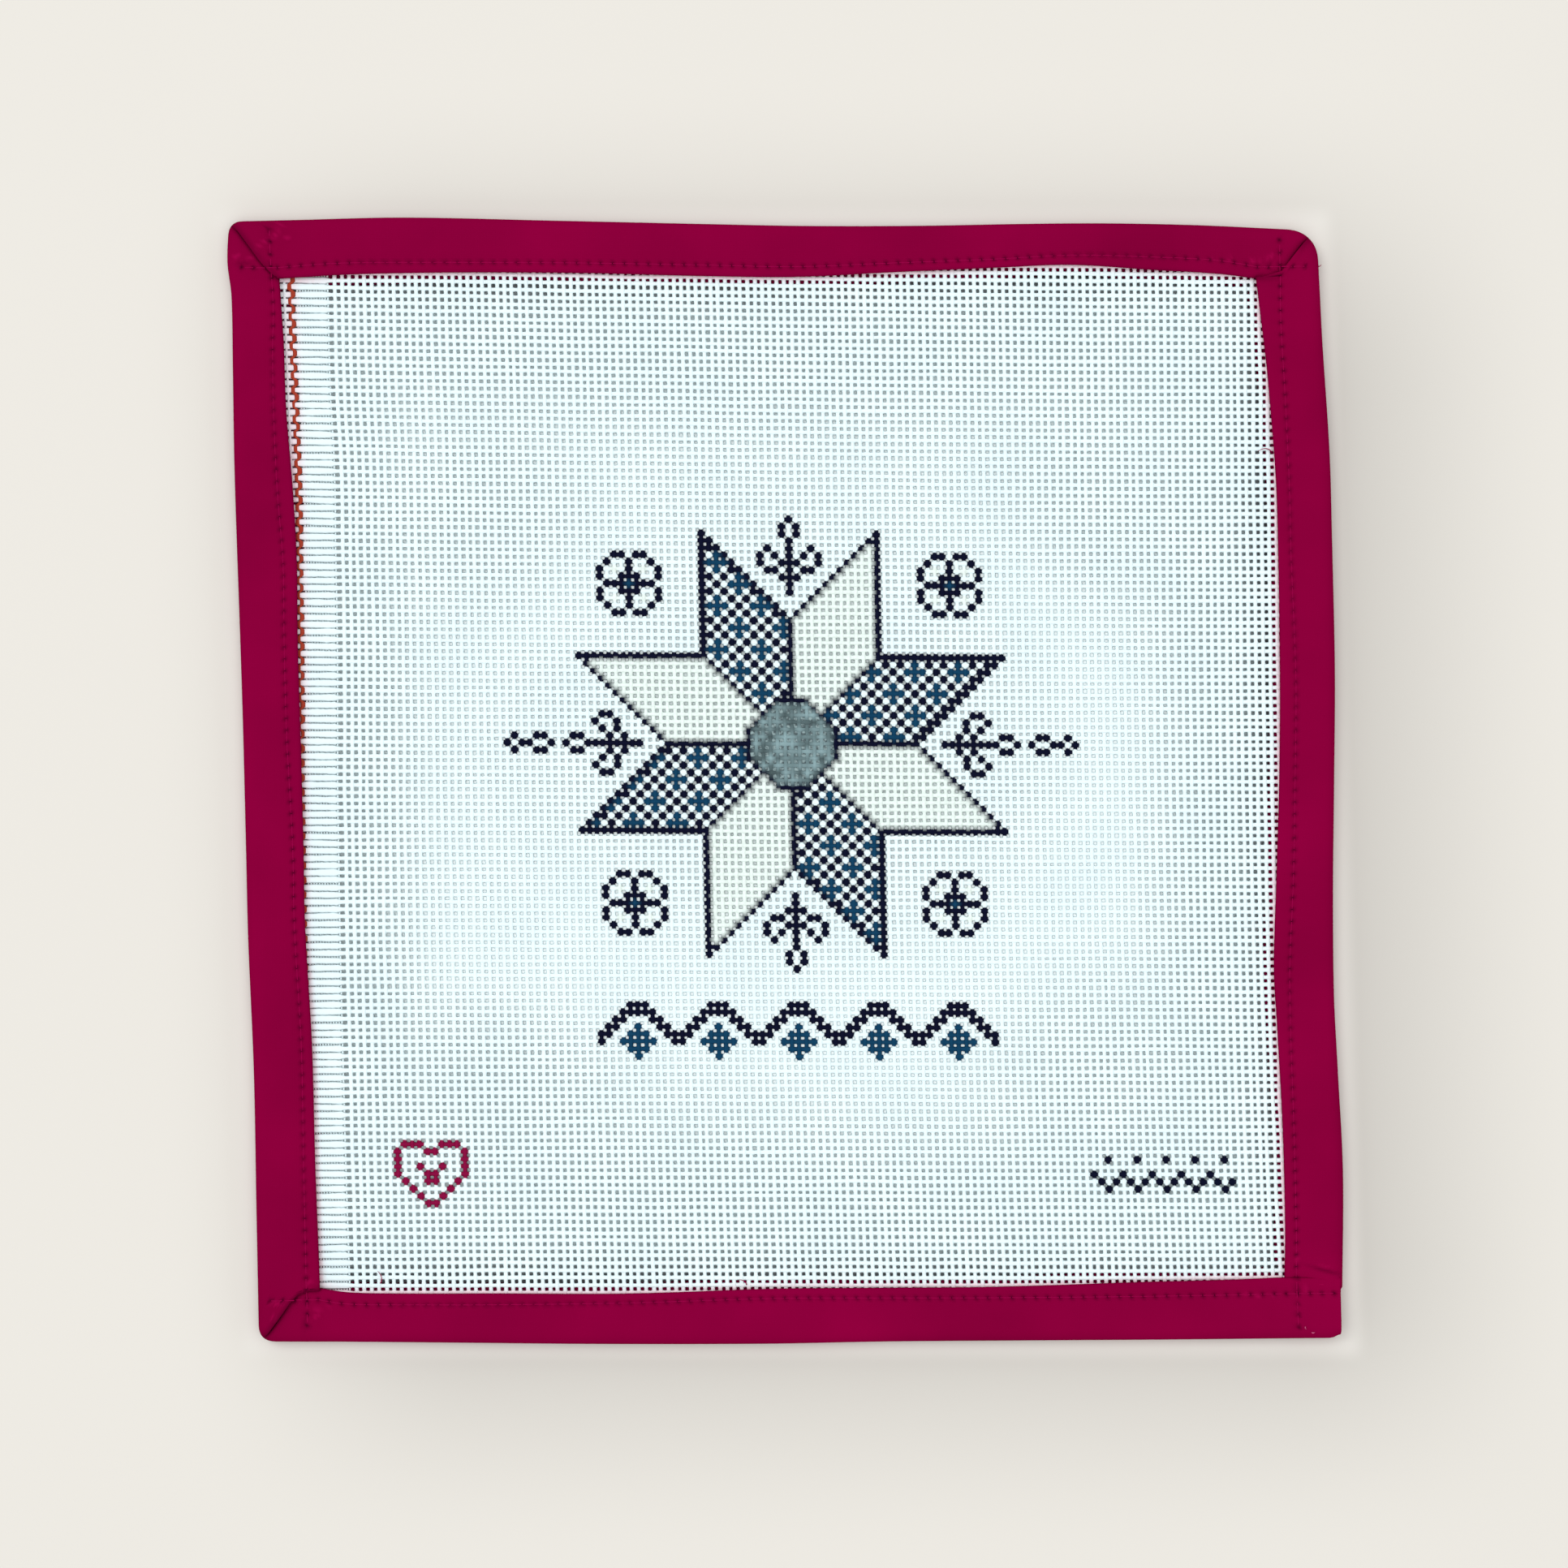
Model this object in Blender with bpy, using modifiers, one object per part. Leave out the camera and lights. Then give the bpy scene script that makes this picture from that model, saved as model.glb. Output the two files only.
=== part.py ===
"""A needlepoint canvas bound with tape, lying face up on a flat surface.

The canvas is one stiff sheet of open-weave cotton. Its cut edges are closed in
one long cotton tape that is folded over them, mitred at three corners, and
lapped over its own start at the bottom right corner.

Metres, +Z up out of the worked face, +Y towards the top edge. The origin is on
the underside of the canvas, at its middle, where it touches the surface.
"""

import math
from collections import namedtuple

import bmesh
import bpy
from mathutils import Vector

MM = 0.001

# Driving sizes
CANVAS_THICK = 1.0 * MM
TAPE_THICK = 1.0 * MM
GAP = 0.3 * MM  # between pieces that touch
PLEAT_RISE = 0.5 * MM  # how far a mitred corner's pleat stands over the tape
PLEAT_RUN = 8.0 * MM  # over which the pleat sinks back on its upper side
PLEAT_DROP = 1.6 * MM  # and on its lower side
LAP_RISE = 0.5 * MM  # the tape's end stands this much higher, over its start

# Sizes that follow from them
TAPE_HEIGHT = 2 * TAPE_THICK + 2 * GAP + CANVAS_THICK
FOLD_RADIUS = (TAPE_HEIGHT - TAPE_THICK) / 2  # to the middle of the tape's thickness
FOLD_CENTRE = TAPE_THICK / 2 + FOLD_RADIUS  # inwards from the outer edge
CANVAS_LIFT = TAPE_THICK + GAP  # underside of the canvas, where the tape holds it

# Grid cells: the canvas each way, the tape along a side, and across its section
CANVAS_CELLS = 32
SIDE_CELLS = 22
LEG_CELLS = 2
FOLD_CELLS = 6

# The corners, in the order in which the tape is sewn round, in millimetres: the
# outer corner, the length that its rounding takes, and the window's corner.
Corner = namedtuple("Corner", "edge_x edge_y round_mm window_x window_y")
CORNERS = (
    Corner(107.3, -107.5, 0.0, 96.3, -95.9),  # bottom right, where the tape laps
    Corner(102.4, 106.1, 6.0, 90.7, 97.0),  # top right
    Corner(-107.5, 107.9, 2.6, -97.9, 96.9),  # top left
    Corner(-101.7, -108.2, 3.2, -90.0, -98.0),  # bottom left
)

# How far the outer edge and the window's edge bow outwards from the straight
# line between two corners, in millimetres, at shares of the way along the side.
Station = namedtuple("Station", "along edge window")
RIGHT_SIDE = (
    Station(0.00, 0.00, 0.00),
    Station(0.05, 0.30, 0.40),
    Station(0.15, 0.90, 0.50),
    Station(0.25, 0.30, 0.00),
    Station(0.31, -0.05, -0.30),
    Station(0.40, 0.20, 0.70),
    Station(0.50, 0.90, 1.80),
    Station(0.60, 1.55, 2.50),
    Station(0.72, 1.60, 2.85),
    Station(0.80, 1.50, 2.80),
    Station(0.90, 0.60, 1.80),
    Station(0.95, 0.30, 1.00),
    Station(1.00, 0.00, 0.00),
)
TOP_SIDE = (
    Station(0.00, 0.00, 0.00),
    Station(0.04, 0.35, 0.95),
    Station(0.11, 0.90, 1.75),
    Station(0.19, 1.10, 2.70),
    Station(0.26, 0.90, 2.20),
    Station(0.37, 0.30, 1.30),
    Station(0.47, 0.10, 0.40),
    Station(0.56, 0.30, 0.55),
    Station(0.70, 0.70, 1.20),
    Station(0.84, 1.05, 1.25),
    Station(0.94, 0.40, 0.80),
    Station(1.00, 0.00, 0.00),
)
LEFT_SIDE = (
    Station(0.00, 0.00, 0.00),
    Station(0.035, 0.50, -0.20),
    Station(0.065, -0.10, -0.35),
    Station(0.13, 0.00, -0.30),
    Station(0.21, 0.20, -0.90),
    Station(0.28, 0.15, -1.70),
    Station(0.36, 0.00, -1.35),
    Station(0.45, -0.10, -0.90),
    Station(0.56, -0.05, -0.30),
    Station(0.64, 0.00, 0.10),
    Station(0.76, -0.40, -0.30),
    Station(0.88, -0.20, 0.00),
    Station(1.00, 0.00, 0.00),
)
BOTTOM_SIDE = (
    Station(0.00, 0.00, 0.00),
    Station(0.03, 0.05, 0.90),
    Station(0.08, 0.10, 1.25),
    Station(0.18, 0.35, 1.45),
    Station(0.32, 0.70, 1.75),
    Station(0.47, 0.75, 1.15),
    Station(0.58, 0.40, 1.20),
    Station(0.70, 0.30, 1.25),
    Station(0.85, 0.20, 0.65),
    Station(0.95, 0.05, 0.35),
    Station(1.00, 0.00, 0.00),
)
SIDES = (RIGHT_SIDE, TOP_SIDE, LEFT_SIDE, BOTTOM_SIDE)
BOTTOM = 3

# The canvas comes down from the tape to the surface over these lengths, from
# the window's edge inwards, in millimetres, and the tape covers this much of it.
SagRun = namedtuple("SagRun", "right top left bottom")
SAG_RUN = SagRun(right=30.0, top=34.0, left=26.0, bottom=36.0)
COVERED = 8.6 * MM

# Low swells where the stiff canvas stands off the surface: middle, half sizes
# and height, in millimetres. None reaches the flat middle that it rests on.
Swell = namedtuple("Swell", "x y half_x half_y rise")
SWELLS = (
    Swell(-60.0, 52.0, 30.0, 26.0, 0.45),
    Swell(58.0, 60.0, 24.0, 32.0, 0.35),
    Swell(-54.0, -62.0, 34.0, 24.0, 0.50),
    Swell(62.0, -58.0, 26.0, 30.0, 0.40),
)


def clear_scene():
    for thing in list(bpy.data.objects):
        bpy.data.objects.remove(thing, do_unlink=True)


def cloth_material(name, colour, roughness):
    material = bpy.data.materials.new(name)
    material.use_nodes = True
    shader = material.node_tree.nodes["Principled BSDF"]
    shader.inputs["Base Color"].default_value = (*colour, 1.0)
    shader.inputs["Roughness"].default_value = roughness
    shader.inputs["Metallic"].default_value = 0.0
    return material


def eased(share):
    """0 to 1 with a soft start and end."""
    share = min(max(share, 0.0), 1.0)
    return share * share * (3.0 - 2.0 * share)


def bow_at(stations, along, column):
    """One column of a side's table, on a smooth curve through its rows, in metres."""
    along = min(max(along, 0.0), 1.0)
    last = len(stations) - 1
    k = 0
    while k < last - 1 and along > stations[k + 1].along:
        k += 1

    def slope(row):
        before, after = stations[max(row - 1, 0)], stations[min(row + 1, last)]
        rise = getattr(after, column) - getattr(before, column)
        return rise / (after.along - before.along)

    here, there = stations[k], stations[k + 1]
    span = there.along - here.along
    s = (along - here.along) / span
    value = (
        getattr(here, column) * (1 + 2 * s) * (1 - s) ** 2
        + getattr(there, column) * s * s * (3 - 2 * s)
        + slope(k) * span * s * (1 - s) ** 2
        + slope(k + 1) * span * s * s * (s - 1)
    )
    return value * MM


def inwards(way):
    """The panel's inner side of a direction round it, which runs anticlockwise."""
    return Vector((-way.y, way.x))


def edge_corner(k, inset):
    """An outer corner, moved in from both of its sides by inset."""
    before, here, after = (
        Vector((CORNERS[j % 4].edge_x, CORNERS[j % 4].edge_y)) * MM for j in (k - 1, k, k + 1)
    )
    from_side = inwards((here - before).normalized())
    to_side = inwards((after - here).normalized())
    return here + (from_side + to_side) * inset / (1 + from_side.dot(to_side))


def edge_point(k, along, inset):
    """A point of the outline of side k, with round corners, moved in by inset."""
    start, end = edge_corner(k, inset), edge_corner(k + 1, inset)
    way = (end - start).normalized()
    length = (end - start).length
    point = start.lerp(end, along)
    for corner, other, left in (
        (k, edge_corner(k - 1, inset), along * length),
        (k + 1, edge_corner(k + 2, inset), (1 - along) * length),
    ):
        rounding = max(CORNERS[corner % 4].round_mm * MM - inset, 0.0)
        if left < rounding:
            tip = edge_corner(corner, inset)
            own = tip + (way if corner == k else -way) * rounding
            next_door = tip + (other - tip).normalized() * rounding
            s = 0.5 + 0.5 * left / rounding
            point = own * s * s + tip * 2 * s * (1 - s) + next_door * (1 - s) ** 2
    return point - inwards(way) * bow_at(SIDES[k], along, "edge")


def window_point(k, along):
    """A point of the tape's inner edge on side k; past the corner it runs straight on."""
    start, end = (
        Vector((CORNERS[j % 4].window_x, CORNERS[j % 4].window_y)) * MM for j in (k, k + 1)
    )
    way = (end - start).normalized()
    point = start + (end - start) * along
    return point - inwards(way) * bow_at(SIDES[k], along, "window")


def tape_section():
    """The folded tape's section, from its upper inner edge round to its lower one:
    inset from the outer edge, share of the way on to the window, height, and how
    much of a pleat's rise is felt there."""
    rows = []
    for j in range(LEG_CELLS):
        rows.append((FOLD_CENTRE, 1 - j / LEG_CELLS, FOLD_CENTRE + FOLD_RADIUS, 1.0))
    for j in range(FOLD_CELLS + 1):
        angle = math.pi * (0.5 - j / FOLD_CELLS)
        inset = FOLD_CENTRE - FOLD_RADIUS * math.cos(angle)
        height = FOLD_CENTRE + FOLD_RADIUS * math.sin(angle)
        rows.append((inset, 0.0, height, max(math.sin(angle), 0.0)))
    for j in range(1, LEG_CELLS + 1):
        rows.append((FOLD_CENTRE, j / LEG_CELLS, FOLD_CENTRE - FOLD_RADIUS, 0.0))
    return rows


def lap_shares():
    """Where the tape starts on the right side, above its own lapped end, and how
    far the lapped end runs on past the window's corner to the right edge."""
    lap, top, left = CORNERS[0], CORNERS[1], CORNERS[3]
    start_y = lap.window_y + GAP / MM
    edge_start = (start_y - lap.edge_y) / (top.edge_y - lap.edge_y)
    window_start = (start_y - lap.window_y) / (top.window_y - lap.window_y)
    window_end = 1 + (lap.edge_x - lap.window_x) / (lap.window_x - left.window_x)
    return edge_start, window_start, window_end


def tape_rise(k, along, side_length):
    """The rise of the pleats at the two ends of side k, and of the lap."""
    from_start, from_end = along * side_length, (1 - along) * side_length
    rise = 0.0
    if k > 0:
        rise = max(rise, PLEAT_RISE * (1 - eased(from_start / PLEAT_DROP)))
    if k < BOTTOM:
        rise = max(rise, PLEAT_RISE * (1 - eased(from_end / PLEAT_RUN)))
    if k == BOTTOM:
        lap_length = (CORNERS[0].edge_x - CORNERS[0].window_x) * MM
        rise = max(rise, LAP_RISE * eased((lap_length - from_end) / PLEAT_DROP + 1))
    return rise


def tape_place(step):
    """Side, and shares of the way along its outer and its inner edge, at a step of the grid."""
    k = min(step // SIDE_CELLS, BOTTOM)
    share = step / SIDE_CELLS - k
    share = 0.5 - 0.5 * math.cos(math.pi * share)  # closer steps near the corners
    edge_start, window_start, window_end = lap_shares()
    edge_from, window_from = (edge_start, window_start) if k == 0 else (0.0, 0.0)
    window_to = window_end if k == BOTTOM else 1.0
    edge_along = edge_from + (1 - edge_from) * share
    return k, edge_along, window_from + (window_to - window_from) * share


def make_binding():
    """The tape: a strip laid round the panel in its folded section, then thickened."""
    rows = tape_section()
    mesh = bpy.data.meshes.new("binding")
    shape = bmesh.new()
    around, across = 4 * SIDE_CELLS, len(rows) - 1
    bmesh.ops.create_grid(shape, x_segments=around, y_segments=across, size=0.5)
    for vert in shape.verts:
        step = round((vert.co.x + 0.5) * around)
        inset, to_window, height, pleat = rows[round((vert.co.y + 0.5) * across)]
        k, edge_along, window_along = tape_place(step)
        place = edge_point(k, edge_along, inset)
        length = (edge_corner(k + 1, 0) - edge_corner(k, 0)).length
        if to_window > 0:
            place = place.lerp(window_point(k, window_along), to_window)
        height += pleat * tape_rise(k, edge_along, length)
        vert.co = (place.x, place.y, height)
    bmesh.ops.recalc_face_normals(shape, faces=shape.faces)
    shape.to_mesh(mesh)
    shape.free()
    mesh.shade_smooth()

    binding = bpy.data.objects.new("binding", mesh)
    thicken = binding.modifiers.new("Thickness", "SOLIDIFY")
    thicken.thickness = TAPE_THICK
    thicken.offset = 0.0
    thicken.use_even_offset = True
    mesh.materials.append(cloth_material("crimson_cotton", (0.25, 0.0, 0.04), 0.85))
    return binding


def canvas_plan(u, v):
    """A point of the canvas from shares across and up it, between its four cut edges."""
    right, top = edge_point(0, v, FOLD_CENTRE), edge_point(1, 1 - u, FOLD_CENTRE)
    left, bottom = edge_point(2, 1 - v, FOLD_CENTRE), edge_point(3, u, FOLD_CENTRE)
    low_left, low_right = edge_point(3, 0, FOLD_CENTRE), edge_point(3, 1, FOLD_CENTRE)
    high_right, high_left = edge_point(1, 0, FOLD_CENTRE), edge_point(1, 1, FOLD_CENTRE)
    sides = left.lerp(right, u) + bottom.lerp(top, v)
    return sides - low_left.lerp(low_right, u).lerp(high_left.lerp(high_right, u), v)


def canvas_height(place, u, v, width, depth):
    """The underside's height: held up by the tape, and down on the surface further in."""
    settled = 1.0
    for distance, run in (
        ((1 - u) * width, SAG_RUN.right),
        ((1 - v) * depth, SAG_RUN.top),
        (u * width, SAG_RUN.left),
        (v * depth, SAG_RUN.bottom),
    ):
        settled *= eased((distance - COVERED) / (run * MM))
    height = CANVAS_LIFT * (1 - settled)
    for swell in SWELLS:
        off_x = (place.x / MM - swell.x) / swell.half_x
        off_y = (place.y / MM - swell.y) / swell.half_y
        share = 1 - off_x**2 - off_y**2
        if share > 0:
            height += swell.rise * MM * share**2 * settled
    return height


def make_canvas():
    """The canvas: a grid between its cut edges, thickened upwards from its underside."""
    mesh = bpy.data.meshes.new("canvas")
    shape = bmesh.new()
    bmesh.ops.create_grid(shape, x_segments=CANVAS_CELLS, y_segments=CANVAS_CELLS, size=0.5)
    width = (edge_corner(4, FOLD_CENTRE) - edge_corner(3, FOLD_CENTRE)).length
    depth = (edge_corner(1, FOLD_CENTRE) - edge_corner(0, FOLD_CENTRE)).length
    for vert in shape.verts:
        u, v = vert.co.x + 0.5, vert.co.y + 0.5
        place = canvas_plan(u, v)
        vert.co = (place.x, place.y, canvas_height(place, u, v, width, depth))
    shape.to_mesh(mesh)
    shape.free()
    mesh.shade_smooth()

    canvas = bpy.data.objects.new("canvas", mesh)
    thicken = canvas.modifiers.new("Thickness", "SOLIDIFY")
    thicken.thickness = CANVAS_THICK
    thicken.offset = 1.0
    mesh.materials.append(cloth_material("white_mono_canvas", (0.83, 0.87, 0.87), 0.8))
    return canvas


clear_scene()
panel = bpy.data.collections.new("needlepoint_canvas_panel")
bpy.context.scene.collection.children.link(panel)
for piece in (make_canvas(), make_binding()):
    panel.objects.link(piece)
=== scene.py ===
import math
from collections import namedtuple

import bpy
import numpy as np
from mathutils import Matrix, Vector
from mathutils.bvhtree import BVHTree
from mathutils.kdtree import KDTree


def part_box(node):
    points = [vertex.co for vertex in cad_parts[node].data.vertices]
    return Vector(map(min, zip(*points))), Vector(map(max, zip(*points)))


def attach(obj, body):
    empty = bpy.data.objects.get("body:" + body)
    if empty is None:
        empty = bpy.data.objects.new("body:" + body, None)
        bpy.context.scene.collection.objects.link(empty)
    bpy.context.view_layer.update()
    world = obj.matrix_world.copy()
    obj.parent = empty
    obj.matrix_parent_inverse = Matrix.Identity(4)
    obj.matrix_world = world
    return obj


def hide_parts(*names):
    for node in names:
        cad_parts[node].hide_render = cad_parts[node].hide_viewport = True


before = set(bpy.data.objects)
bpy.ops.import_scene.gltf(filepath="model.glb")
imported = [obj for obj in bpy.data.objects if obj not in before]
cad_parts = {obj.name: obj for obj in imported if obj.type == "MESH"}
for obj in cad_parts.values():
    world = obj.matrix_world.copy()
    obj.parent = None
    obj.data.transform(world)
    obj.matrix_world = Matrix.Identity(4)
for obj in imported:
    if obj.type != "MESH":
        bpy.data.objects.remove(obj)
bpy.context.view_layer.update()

# The warp. Upright threads of hard-twisted white cotton, stiff with size, that
# run up the canvas 18 to the inch. The loom holds them straight, and each one
# goes over and under the weft in turn. They are numbered from the middle one.
MM = 0.001
FIRST_WARP, LAST_WARP = -60, 70
WARP_IN_LEFT_PIECE = 84
LOWEST_WEFT, HIGHEST_WEFT = -71, 72
WIDE_AT_CROSSING = 0.51  # mm, half a thread's width where two press on each other
WIDE_BETWEEN = 0.395  # and halfway along a hole's side
HALF_THICK = 0.19
TOP_SHARE, FOOT_SHARE = 0.60, 0.35  # a thread is pressed flat on top and flatter below
CRIMP = 0.10  # how far a thread's middle goes up and down
THREAD_GAP = 0.02  # mm under the lowest thread
WANDER = 0.05  # mm, how far a thread strays to its sides
chance = np.random.default_rng(18)

# How a thread changes along its way: by what share, and over how many points.
STRAYS = (1.0, 14)
WIDTH_SLOWLY = (0.05, 6)
WIDTH_QUICKLY = (0.03, 1)
THICKNESS_SLOWLY = (0.04, 5)

# Where the crossings lie on the pulled canvas. With u and v for a place's number of
# threads across and up from the middle, over 70, each row is a term u^a v^b, and
# what it adds across and up, in mm. The terms past the third pull it out of square.
# A program fitted them to the columns and rows of holes in the photo.
THREADS_TO_ONE = 70
Term = namedtuple("Term", "a b across up")
WEAVE = (
    Term(0, 0, -0.04, 0.11),
    Term(1, 0, 98.46, -0.53),
    Term(0, 1, -1.87, 98.06),
    Term(2, 0, -0.69, 0.11),
    Term(1, 1, 0.08, -0.52),
    Term(0, 2, 0.50, -0.30),
    Term(3, 0, 0.33, 0.16),
    Term(2, 1, 0.21, 0.14),
    Term(1, 2, 0.53, -0.08),
    Term(0, 3, -0.52, 0.58),
)

# Where the canvas stands off the table or is pressed to it, in mm: middle, half
# sizes and rise over its lowest lie.
Lift = namedtuple("Lift", "x y half_x half_y rise")
CANVAS_LIFTS = (
    Lift(0, 62, 80, 40, 0.16),
    Lift(2, 8, 64, 52, 0.45),
    Lift(-62, 8, 34, 46, 0.10),
    Lift(-20, -74, 60, 26, 0.20),
    Lift(70, 48, 26, 34, 0.18),
    Lift(52, -66, 36, 30, 0.14),
    Lift(-66, -60, 26, 26, 0.18),
)

# How far the left of the weave is drawn to the right, in mm at a height on the panel:
# its open part, and what the imported threads add. Both fade out over some threads.
# A program printed these differences between the photo and the formula above. They
# are rounded, and a few of them are changed.
WEAVE_PULL_RUN, PACKED_PULL_RUN = 20, 6
Pull = namedtuple("Pull", "y weave packed")
LEFT_PULLS = (
    Pull(-96.0, 0.00, 0.30),
    Pull(-30.0, -0.20, 0.30),
    Pull(-2.4, -0.14, 0.30),
    Pull(7.0, 0.03, 0.30),
    Pull(16.5, 0.20, 0.30),
    Pull(25.9, 0.35, 0.25),
    Pull(35.3, 0.38, 0.28),
    Pull(44.7, 0.35, 0.37),
    Pull(54.2, 0.48, 0.34),
    Pull(63.6, 0.42, 0.33),
    Pull(73.0, 0.05, 0.55),
    Pull(82.4, 0.00, 0.45),
    Pull(91.8, 0.15, 0.27),
)


def weave_place(column, row):
    """Where the middle of a crossing, or a point between, lies on the panel, in mm."""
    u, v = column / THREADS_TO_ONE, row / THREADS_TO_ONE
    x = sum(term.across * u**term.a * v**term.b for term in WEAVE)
    y = sum(term.up * u**term.a * v**term.b for term in WEAVE)
    heights = [pull.y for pull in LEFT_PULLS]
    weave = np.interp(y, heights, [pull.weave for pull in LEFT_PULLS])
    packed = np.interp(y, heights, [pull.packed for pull in LEFT_PULLS])
    x = x + weave * np.clip((FIRST_WARP + WEAVE_PULL_RUN - column) / WEAVE_PULL_RUN, 0, 1)
    x = x + packed * np.clip((FIRST_WARP - column) / PACKED_PULL_RUN, 0, 1)
    return x, y


GRID_STEP = 2.0  # mm
GRID_SMOOTHINGS = 4
canvas_low, canvas_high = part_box("canvas")
canvas_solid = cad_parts["canvas"].data
canvas_form = BVHTree.FromPolygons(
    [v.co for v in canvas_solid.vertices], [p.vertices for p in canvas_solid.polygons]
)


def heights_under_canvas():
    """The height of the canvas's underside on an even grid, in mm, its facets smoothed."""
    across = np.arange(canvas_low.x / MM, canvas_high.x / MM, GRID_STEP)
    up = np.arange(canvas_low.y / MM, canvas_high.y / MM, GRID_STEP)
    below, upwards = -0.01, Vector((0, 0, 1))
    heights = np.full((len(across), len(up)), np.nan)
    for m, x in enumerate(across):
        for n, y in enumerate(up):
            hit = canvas_form.ray_cast(Vector((x * MM, y * MM, below)), upwards)[0]
            if hit is not None:
                heights[m, n] = hit.z / MM
    heights[np.isnan(heights)] = np.nanmax(heights)
    for _ in range(GRID_SMOOTHINGS):
        edged = np.pad(heights, 1, mode="edge")
        heights = (edged[:-2, 1:-1] + edged[2:, 1:-1] + edged[1:-1, :-2] + edged[1:-1, 2:]) / 4
    return across, up, heights


grid_x, grid_y, grid_height = heights_under_canvas()


def canvas_lie(x, y):
    """The height of the middle of the weave at a place on the panel, in mm."""
    just_over_one = 1.001  # so that the last line of the grid counts as in its last cell
    m = np.clip((x - grid_x[0]) / GRID_STEP, 0, len(grid_x) - just_over_one)
    n = np.clip((y - grid_y[0]) / GRID_STEP, 0, len(grid_y) - just_over_one)
    i, j = m.astype(int), n.astype(int)
    s, t = m - i, n - j
    low = grid_height[i, j] * (1 - s) + grid_height[i + 1, j] * s
    high = grid_height[i, j + 1] * (1 - s) + grid_height[i + 1, j + 1] * s
    height = low * (1 - t) + high * t
    for lift in CANVAS_LIFTS:
        share = 1 - ((x - lift.x) / lift.half_x) ** 2 - ((y - lift.y) / lift.half_y) ** 2
        height = height + lift.rise * np.clip(share, 0, 1) ** 2
    return height + THREAD_GAP + CRIMP + HALF_THICK * FOOT_SHARE


def uneven(threads, points, share, every):
    """Slow changes along each thread, about 1: a new chance value at every so many points."""
    knots = points // every + 2
    values = 1 + share * chance.standard_normal((threads, knots))
    at = np.arange(points) / every
    return np.stack([np.interp(at, np.arange(knots), row) for row in values])


def spin_threads(name, line, sideways, half_width, half_thick):
    """Threads laid along lines, as one open-ended mesh: line holds a row of points, in mm,
    for each thread. Each thread has its own strip of the UV map, along and round it."""
    threads, points = line.shape[:2]
    up = np.array((0.0, 0.0, 1.0))
    out, rise = sideways * half_width[..., None], up * half_thick[..., None]
    top, foot = rise, rise * FOOT_SHARE
    rings = (line + out * TOP_SHARE + top, line - out * TOP_SHARE + top, line - out - foot,
             line + out - foot)
    rings = np.stack(rings, axis=2) * MM
    start = (np.arange(threads)[:, None] * points + np.arange(points - 1)) * 4
    corner = np.arange(4)
    here, there = start[..., None] + corner, start[..., None] + (corner + 1) % 4
    faces = np.stack((here, here + 4, there + 4, there), axis=-1).reshape(-1, 4)

    mesh = bpy.data.meshes.new(name)
    mesh.vertices.add(threads * points * 4)
    mesh.vertices.foreach_set("co", rings.reshape(-1))
    mesh.loops.add(faces.size)
    mesh.loops.foreach_set("vertex_index", faces.reshape(-1))
    mesh.polygons.add(len(faces))
    mesh.polygons.foreach_set("loop_start", np.arange(len(faces)) * 4)
    mesh.update(calc_edges=True)
    mesh.shade_smooth()

    strip_room = 0.92
    along = np.arange(points) / (points - 1)
    u = np.stack((along[:-1], along[1:], along[1:], along[:-1]), axis=-1)
    u = np.broadcast_to(u[None, :, None, :], (threads, points - 1, 4, 4))
    v = np.stack((corner, corner, corner + 1, corner + 1), axis=-1) / 4 * strip_room
    v = (v[None, None] + np.arange(threads)[:, None, None, None]) / threads
    v = np.broadcast_to(v, u.shape)
    mesh.uv_layers.new(name="OFBake").data.foreach_set("uv", np.stack((u, v), axis=-1).reshape(-1))
    piece = bpy.data.objects.new(name, mesh)
    bpy.context.scene.collection.objects.link(piece)
    return piece


def over_or_under(column, row):
    """1 where the warp lies over the weft, and -1 where it lies under."""
    return np.where((np.round(column) + np.round(row)) % 2 == 0, 1.0, -1.0)


# A point at each weft and one halfway to the next.
rows_up = np.arange(LOWEST_WEFT, HIGHEST_WEFT + 0.25, 0.5)
row_is_weft = rows_up == np.round(rows_up)


def make_warp(name, columns):
    """Warp threads with a point at each crossing and one halfway to the next."""
    c, r = np.meshgrid(columns, rows_up, indexing="ij")
    x, y = weave_place(c, r)
    z = canvas_lie(x, y) + np.where(row_is_weft, CRIMP * over_or_under(c, r), 0.0)
    x = x + WANDER * (uneven(*c.shape, *STRAYS) - 1)
    width = np.where(row_is_weft, WIDE_AT_CROSSING, WIDE_BETWEEN)
    width = width * uneven(*c.shape, *WIDTH_SLOWLY)
    width = width * uneven(*c.shape, *WIDTH_QUICKLY)
    return spin_threads(name, np.stack((x, y, z), axis=-1), np.array((1.0, 0, 0)), width,
                        HALF_THICK * uneven(*c.shape, *THICKNESS_SLOWLY)), c, r


warp_columns = np.arange(FIRST_WARP, LAST_WARP + 1).astype(float)
warp_left, *warp_left_places = make_warp("warp_left", warp_columns[:WARP_IN_LEFT_PIECE])
warp_right, *warp_right_places = make_warp("warp_right", warp_columns[WARP_IN_LEFT_PIECE:])


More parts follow.
